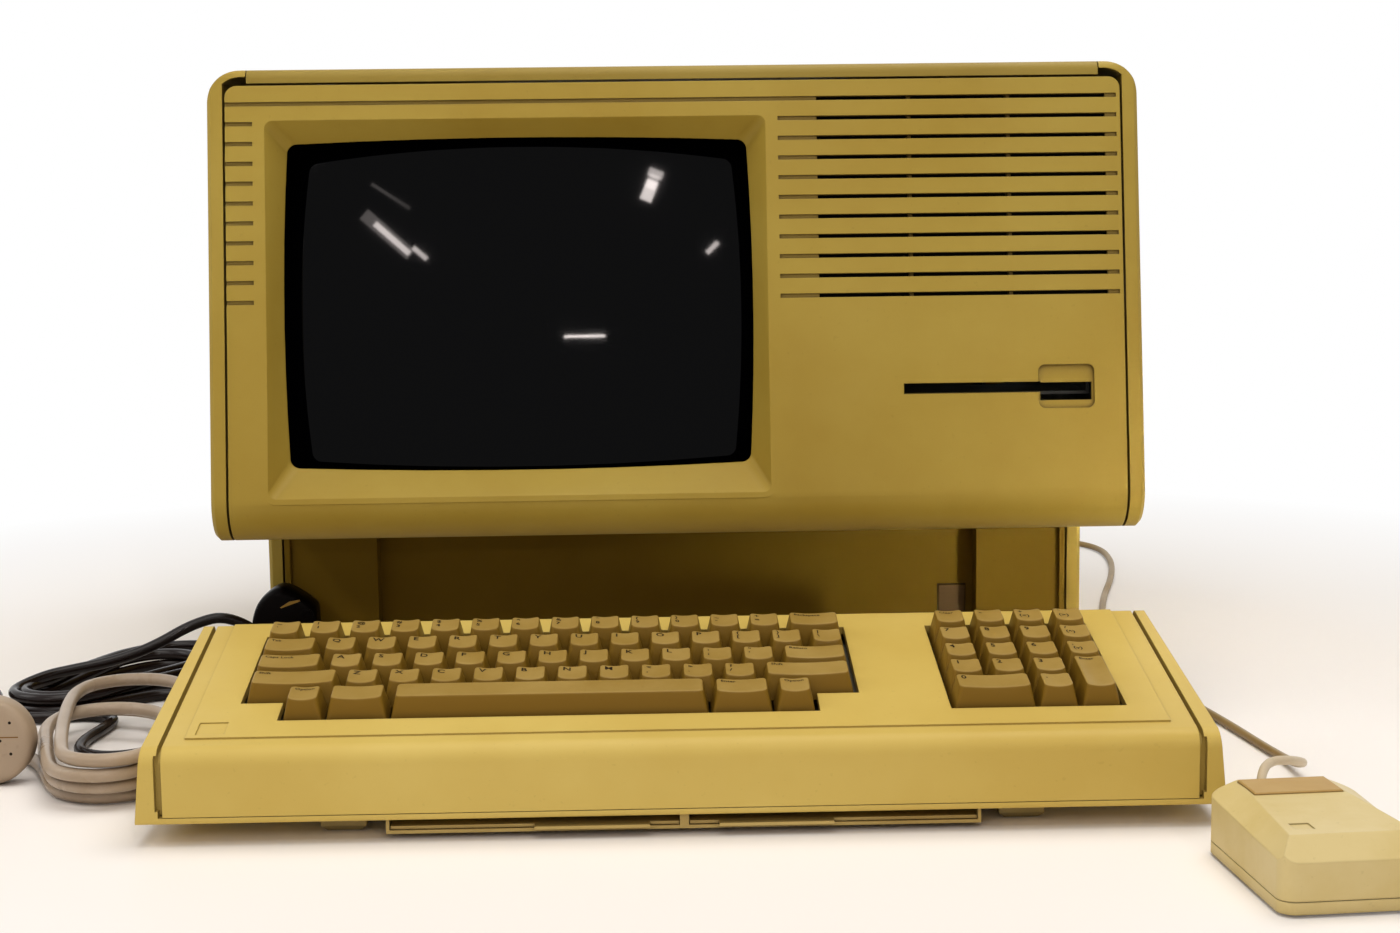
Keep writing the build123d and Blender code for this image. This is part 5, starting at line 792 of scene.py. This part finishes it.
def add_hood(mats):
    """Moulded hood of the mouse connector at the machine's back."""
    work = bmesh.new()
    middle, level = HOOD_PLACE
    skin_rings(work, [[work.verts.new(Vector((middle + x, y, level + z)) * MM)
                       for x, z in round_ring(width, height, radius, 4)]
                      for y, width, height, radius in HOOD_RINGS])
    outward(work)
    return piece_from("mouse_connector_hood", mesh_from(work, "hood"), mats["mouse_lead"], "machine",
                      smooth=35)


def turned_rings(work, axis, profile, count):
    """Rings of vertices round an axis parallel to Y, from (radius, distance along it) pairs."""
    return [[work.verts.new(Vector((axis[0] + radius * math.cos(a), y, axis[1] + radius * math.sin(a))) * MM)
             for a in turns(count)] for radius, y in profile]


PLUG_X, PLUG_Y, PLUG_Z = -332, -262.5, 21
PLUG_PROFILE = [  # radius, distance behind the plug's middle
    (0.5, -7.4), (6, -7.45), (12, -7.5), (17.0, -7.4), (19.2, -6.9), (20.5, -5.6), (21, -3.6), (21, 4),
    (20.6, 5.8), (19.4, 7.1), (17.5, 7.5), (0.5, 7.5),
]
GLAND_RINGS, GLAND_STEP, GLAND_RIDGE, GLAND_GROOVE = 13, 0.3, 4.7, 4.2
PIN_SIDE, PIN_PROFILE = 9.5, [(2.2, -255.2), (2.2, -239), (1.9, -237.6), (1.2, -237)]
HOLE_RADIUS, HOLES = 0.75, [(-320.8, 30.8), (-320.9, 15.7), (-325.7, 22.1)]
SEAM_SIDES, SEAM_LEVELS = (-346, -317.1), (23.45, 24.05)
MARKS_Y = -270.02  # the holes' dark discs of painted shade, and the seam's paint, just before them


def add_mains_plug(mats):
    """Round mains plug on its edge: domed rim, small holes drawn as flat dark discs of painted shade, a
    moulded seam, a ribbed gland and two pins.
    """
    work = bmesh.new()
    profile = [(radius, PLUG_Y + depth) for radius, depth in PLUG_PROFILE]
    skin_rings(work, turned_rings(work, (PLUG_X, PLUG_Z), profile, 64))
    outward(work)
    body = piece_from("mains_plug_body", mesh_from(work, "plug"), mats["plug"], "machine", ["mains_plug"],
                      smooth=35)
    gland = bmesh.new()
    rings = []
    for index in range(GLAND_RINGS):
        radius = GLAND_RIDGE if index % 2 else GLAND_GROOVE
        x = PLUG_X - 22 + index * GLAND_STEP
        around = [(PLUG_Y + radius * math.cos(a), PLUG_Z + radius * math.sin(a)) for a in turns(24)]
        rings.append([gland.verts.new(Vector((x, y, z)) * MM) for y, z in around])
    skin_rings(gland, rings)
    outward(gland)
    piece_from("mains_plug_gland", mesh_from(gland, "gland"), mats["plug"], "machine",
               smooth=50)
    pins = bmesh.new()
    for side in (-1, 1):
        skin_rings(pins, turned_rings(pins, (PLUG_X + side * PIN_SIDE, PLUG_Z), PIN_PROFILE, 20))
    outward(pins)
    piece_from("mains_plug_pins", mesh_from(pins, "pins"), mats["pin_and_highlight_metal"], "machine",
               smooth=40)
    # painted shade: the holes are flat dark discs on the plug's face
    marks = bmesh.new()
    for place in HOLES:
        marks.faces.new(turned_rings(marks, place, [(HOLE_RADIUS, MARKS_Y)], 16)[0])
    piece_from("mains_plug_holes", mesh_from(marks, "holes"), mats["print_and_hole_shade"], "machine")
    seam = bmesh.new()
    (left, right), (low, high) = SEAM_SIDES, SEAM_LEVELS
    seam.faces.new([seam.verts.new(Vector((x, MARKS_Y - 0.01, z)) * MM)
                    for x, z in ((left, low), (right, low), (right, high), (left, high))])
    piece_from("mains_plug_seam", mesh_from(seam, "seam"), mats["seam"], "machine")
    return body


def rounded(outline):
    """A closed outline with three more points on a smooth curve between each two."""
    points = []
    for index, here in enumerate(outline):
        before, after, beyond = (Vector(outline[(index + step) % len(outline)]) for step in (-1, 1, 2))
        here = Vector(here)
        for t in (0, 0.25, 0.5, 0.75):
            bend = 2 * before - 5 * here + 4 * after - beyond
            twist = 3 * here - before - 3 * after + beyond
            points.append((2 * here + (after - before) * t + bend * t ** 2 + twist * t ** 3) / 2)
    return points


SPARE_OUTLINE = [  # X and Z round the spare lead's plug, seen from the front
    (-243.6, 1), (-244, 18), (-243.2, 34), (-239.5, 44.5), (-233, 51), (-226.5, 54), (-220, 52.2),
    (-212.5, 47.5), (-207.6, 43.2), (-206, 38), (-205.8, 18), (-206, 1),
]
SPARE_X, SPARE_Y, SPARE_Z = -225, -45, 20  # its sides narrow towards this place
SPARE_RIM = [(6, 0.995), (8.8, 0.972), (10.4, 0.925), (11, 0.86)]  # distance from its middle, share
SPARE_FOOT = 0.3  # its underside above the table
SCREW_PLACE, SCREW_PROFILE = (-210.9, 38.2), [(3.2, -55), (3.2, -56.2), (2.5, -56.3), (2.2, -55.7)]
# outline and depth of a brass-coloured bar on the plug's ridge: a painted highlight
STRIP_OUTLINE = [(-226.2, 42.6), (-225.6, 42.2), (-214.8, 46.0), (-215.2, 46.8), (-221, 45.9)]
STRIP_FRONT, STRIP_BACK = -56.5, -55.5


def add_black_plug(mats):
    """Rounded plug of the spare lead: a domed body, a brass-coloured bar that paints a highlight on its
    ridge, and a countersunk screw.
    """
    work = bmesh.new()
    rings = []
    levels = [(-depth, share) for depth, share in SPARE_RIM[::-1]] + [(0, 1)] + SPARE_RIM
    for depth, share in levels:
        rings.append([])
        for x, z in rounded(SPARE_OUTLINE):
            x, z = SPARE_X + (x - SPARE_X) * share, SPARE_Z + (z - SPARE_Z) * share
            rings[-1].append(work.verts.new(Vector((x, SPARE_Y + depth, max(SPARE_FOOT, z))) * MM))
    skin_rings(work, rings)
    outward(work)
    body = piece_from("black_plug_body", mesh_from(work, "black_plug"), mats["black_plug"], "machine",
                      ["black_plug"], smooth=75)
    screw = bmesh.new()
    skin_rings(screw, turned_rings(screw, SCREW_PLACE, SCREW_PROFILE, 24))
    outward(screw)
    head = piece_from("black_plug_screw", mesh_from(screw, "screw"), mats["black_plug"], "machine",
                      smooth=40)
    # painted highlight: a thin brass-coloured bar where the plug's ridge catches the light
    strip = bmesh.new()
    skin_rings(strip, [[strip.verts.new(Vector((x, y, z)) * MM) for x, z in STRIP_OUTLINE]
                       for y in (STRIP_FRONT, STRIP_BACK)])
    outward(strip)
    highlight_bar = piece_from("black_plug_highlight_bar", mesh_from(strip, "strip"), mats["pin_and_highlight_metal"], "machine")
    return [body, head, highlight_bar]


# ---------------------------------------------------------------- whole object
def main():
    add_camera()
    add_table()
    add_room()
    mats = make_materials()
    dress(mats["casing"], "side_shell_left", "side_shell_right", "front_bezel", "rear_cover")
    dress(mats["top"], "top_cover")
    dress(mats["recess"], "recess_panel")
    dress(mats["power"], "power_button")
    dress(mats["pan"], "base_pan")
    dress(mats["foot"], "base_feet", "keyboard_feet")
    dress(mats["screw"], "cover_screws", "lead_screw")
    dress(mats["sheet"], "port_panel", "chassis", "card_cage", "power_supply", "switch_plate",
          "port_connectors")
    dress(mats["drive"], "drive_frame", "disk_cradle", "spindle_hub", "head_carriage")
    dress(mats["inlet"], "mains_inlet", "deflection_yoke", "mouse_ball", "ball_ring", "across_roller",
          "along_roller")
    dress(mats["board"], "video_board", "backplane", "plug_in_boards", "key_circuit_board")
    dress(mats["keyboard"], "keyboard_base", "keyboard_cover")
    dress(mats["card"], "card_tray", "reference_card_left", "reference_card_right")
    dress(mats["mouse"], "mouse_base", "mouse_shell")
    dress(mats["button"], "mouse_button")
    dress(mats["grey_lead"], "inlet_connector")
    dress(mats["black_plug"], "black_socket")
    add_glass(mats)
    add_louvre_shade_sheet(mats)
    add_keys(mats)
    add_leads(mats)
    scene.view_settings.view_transform = "Standard"


main()
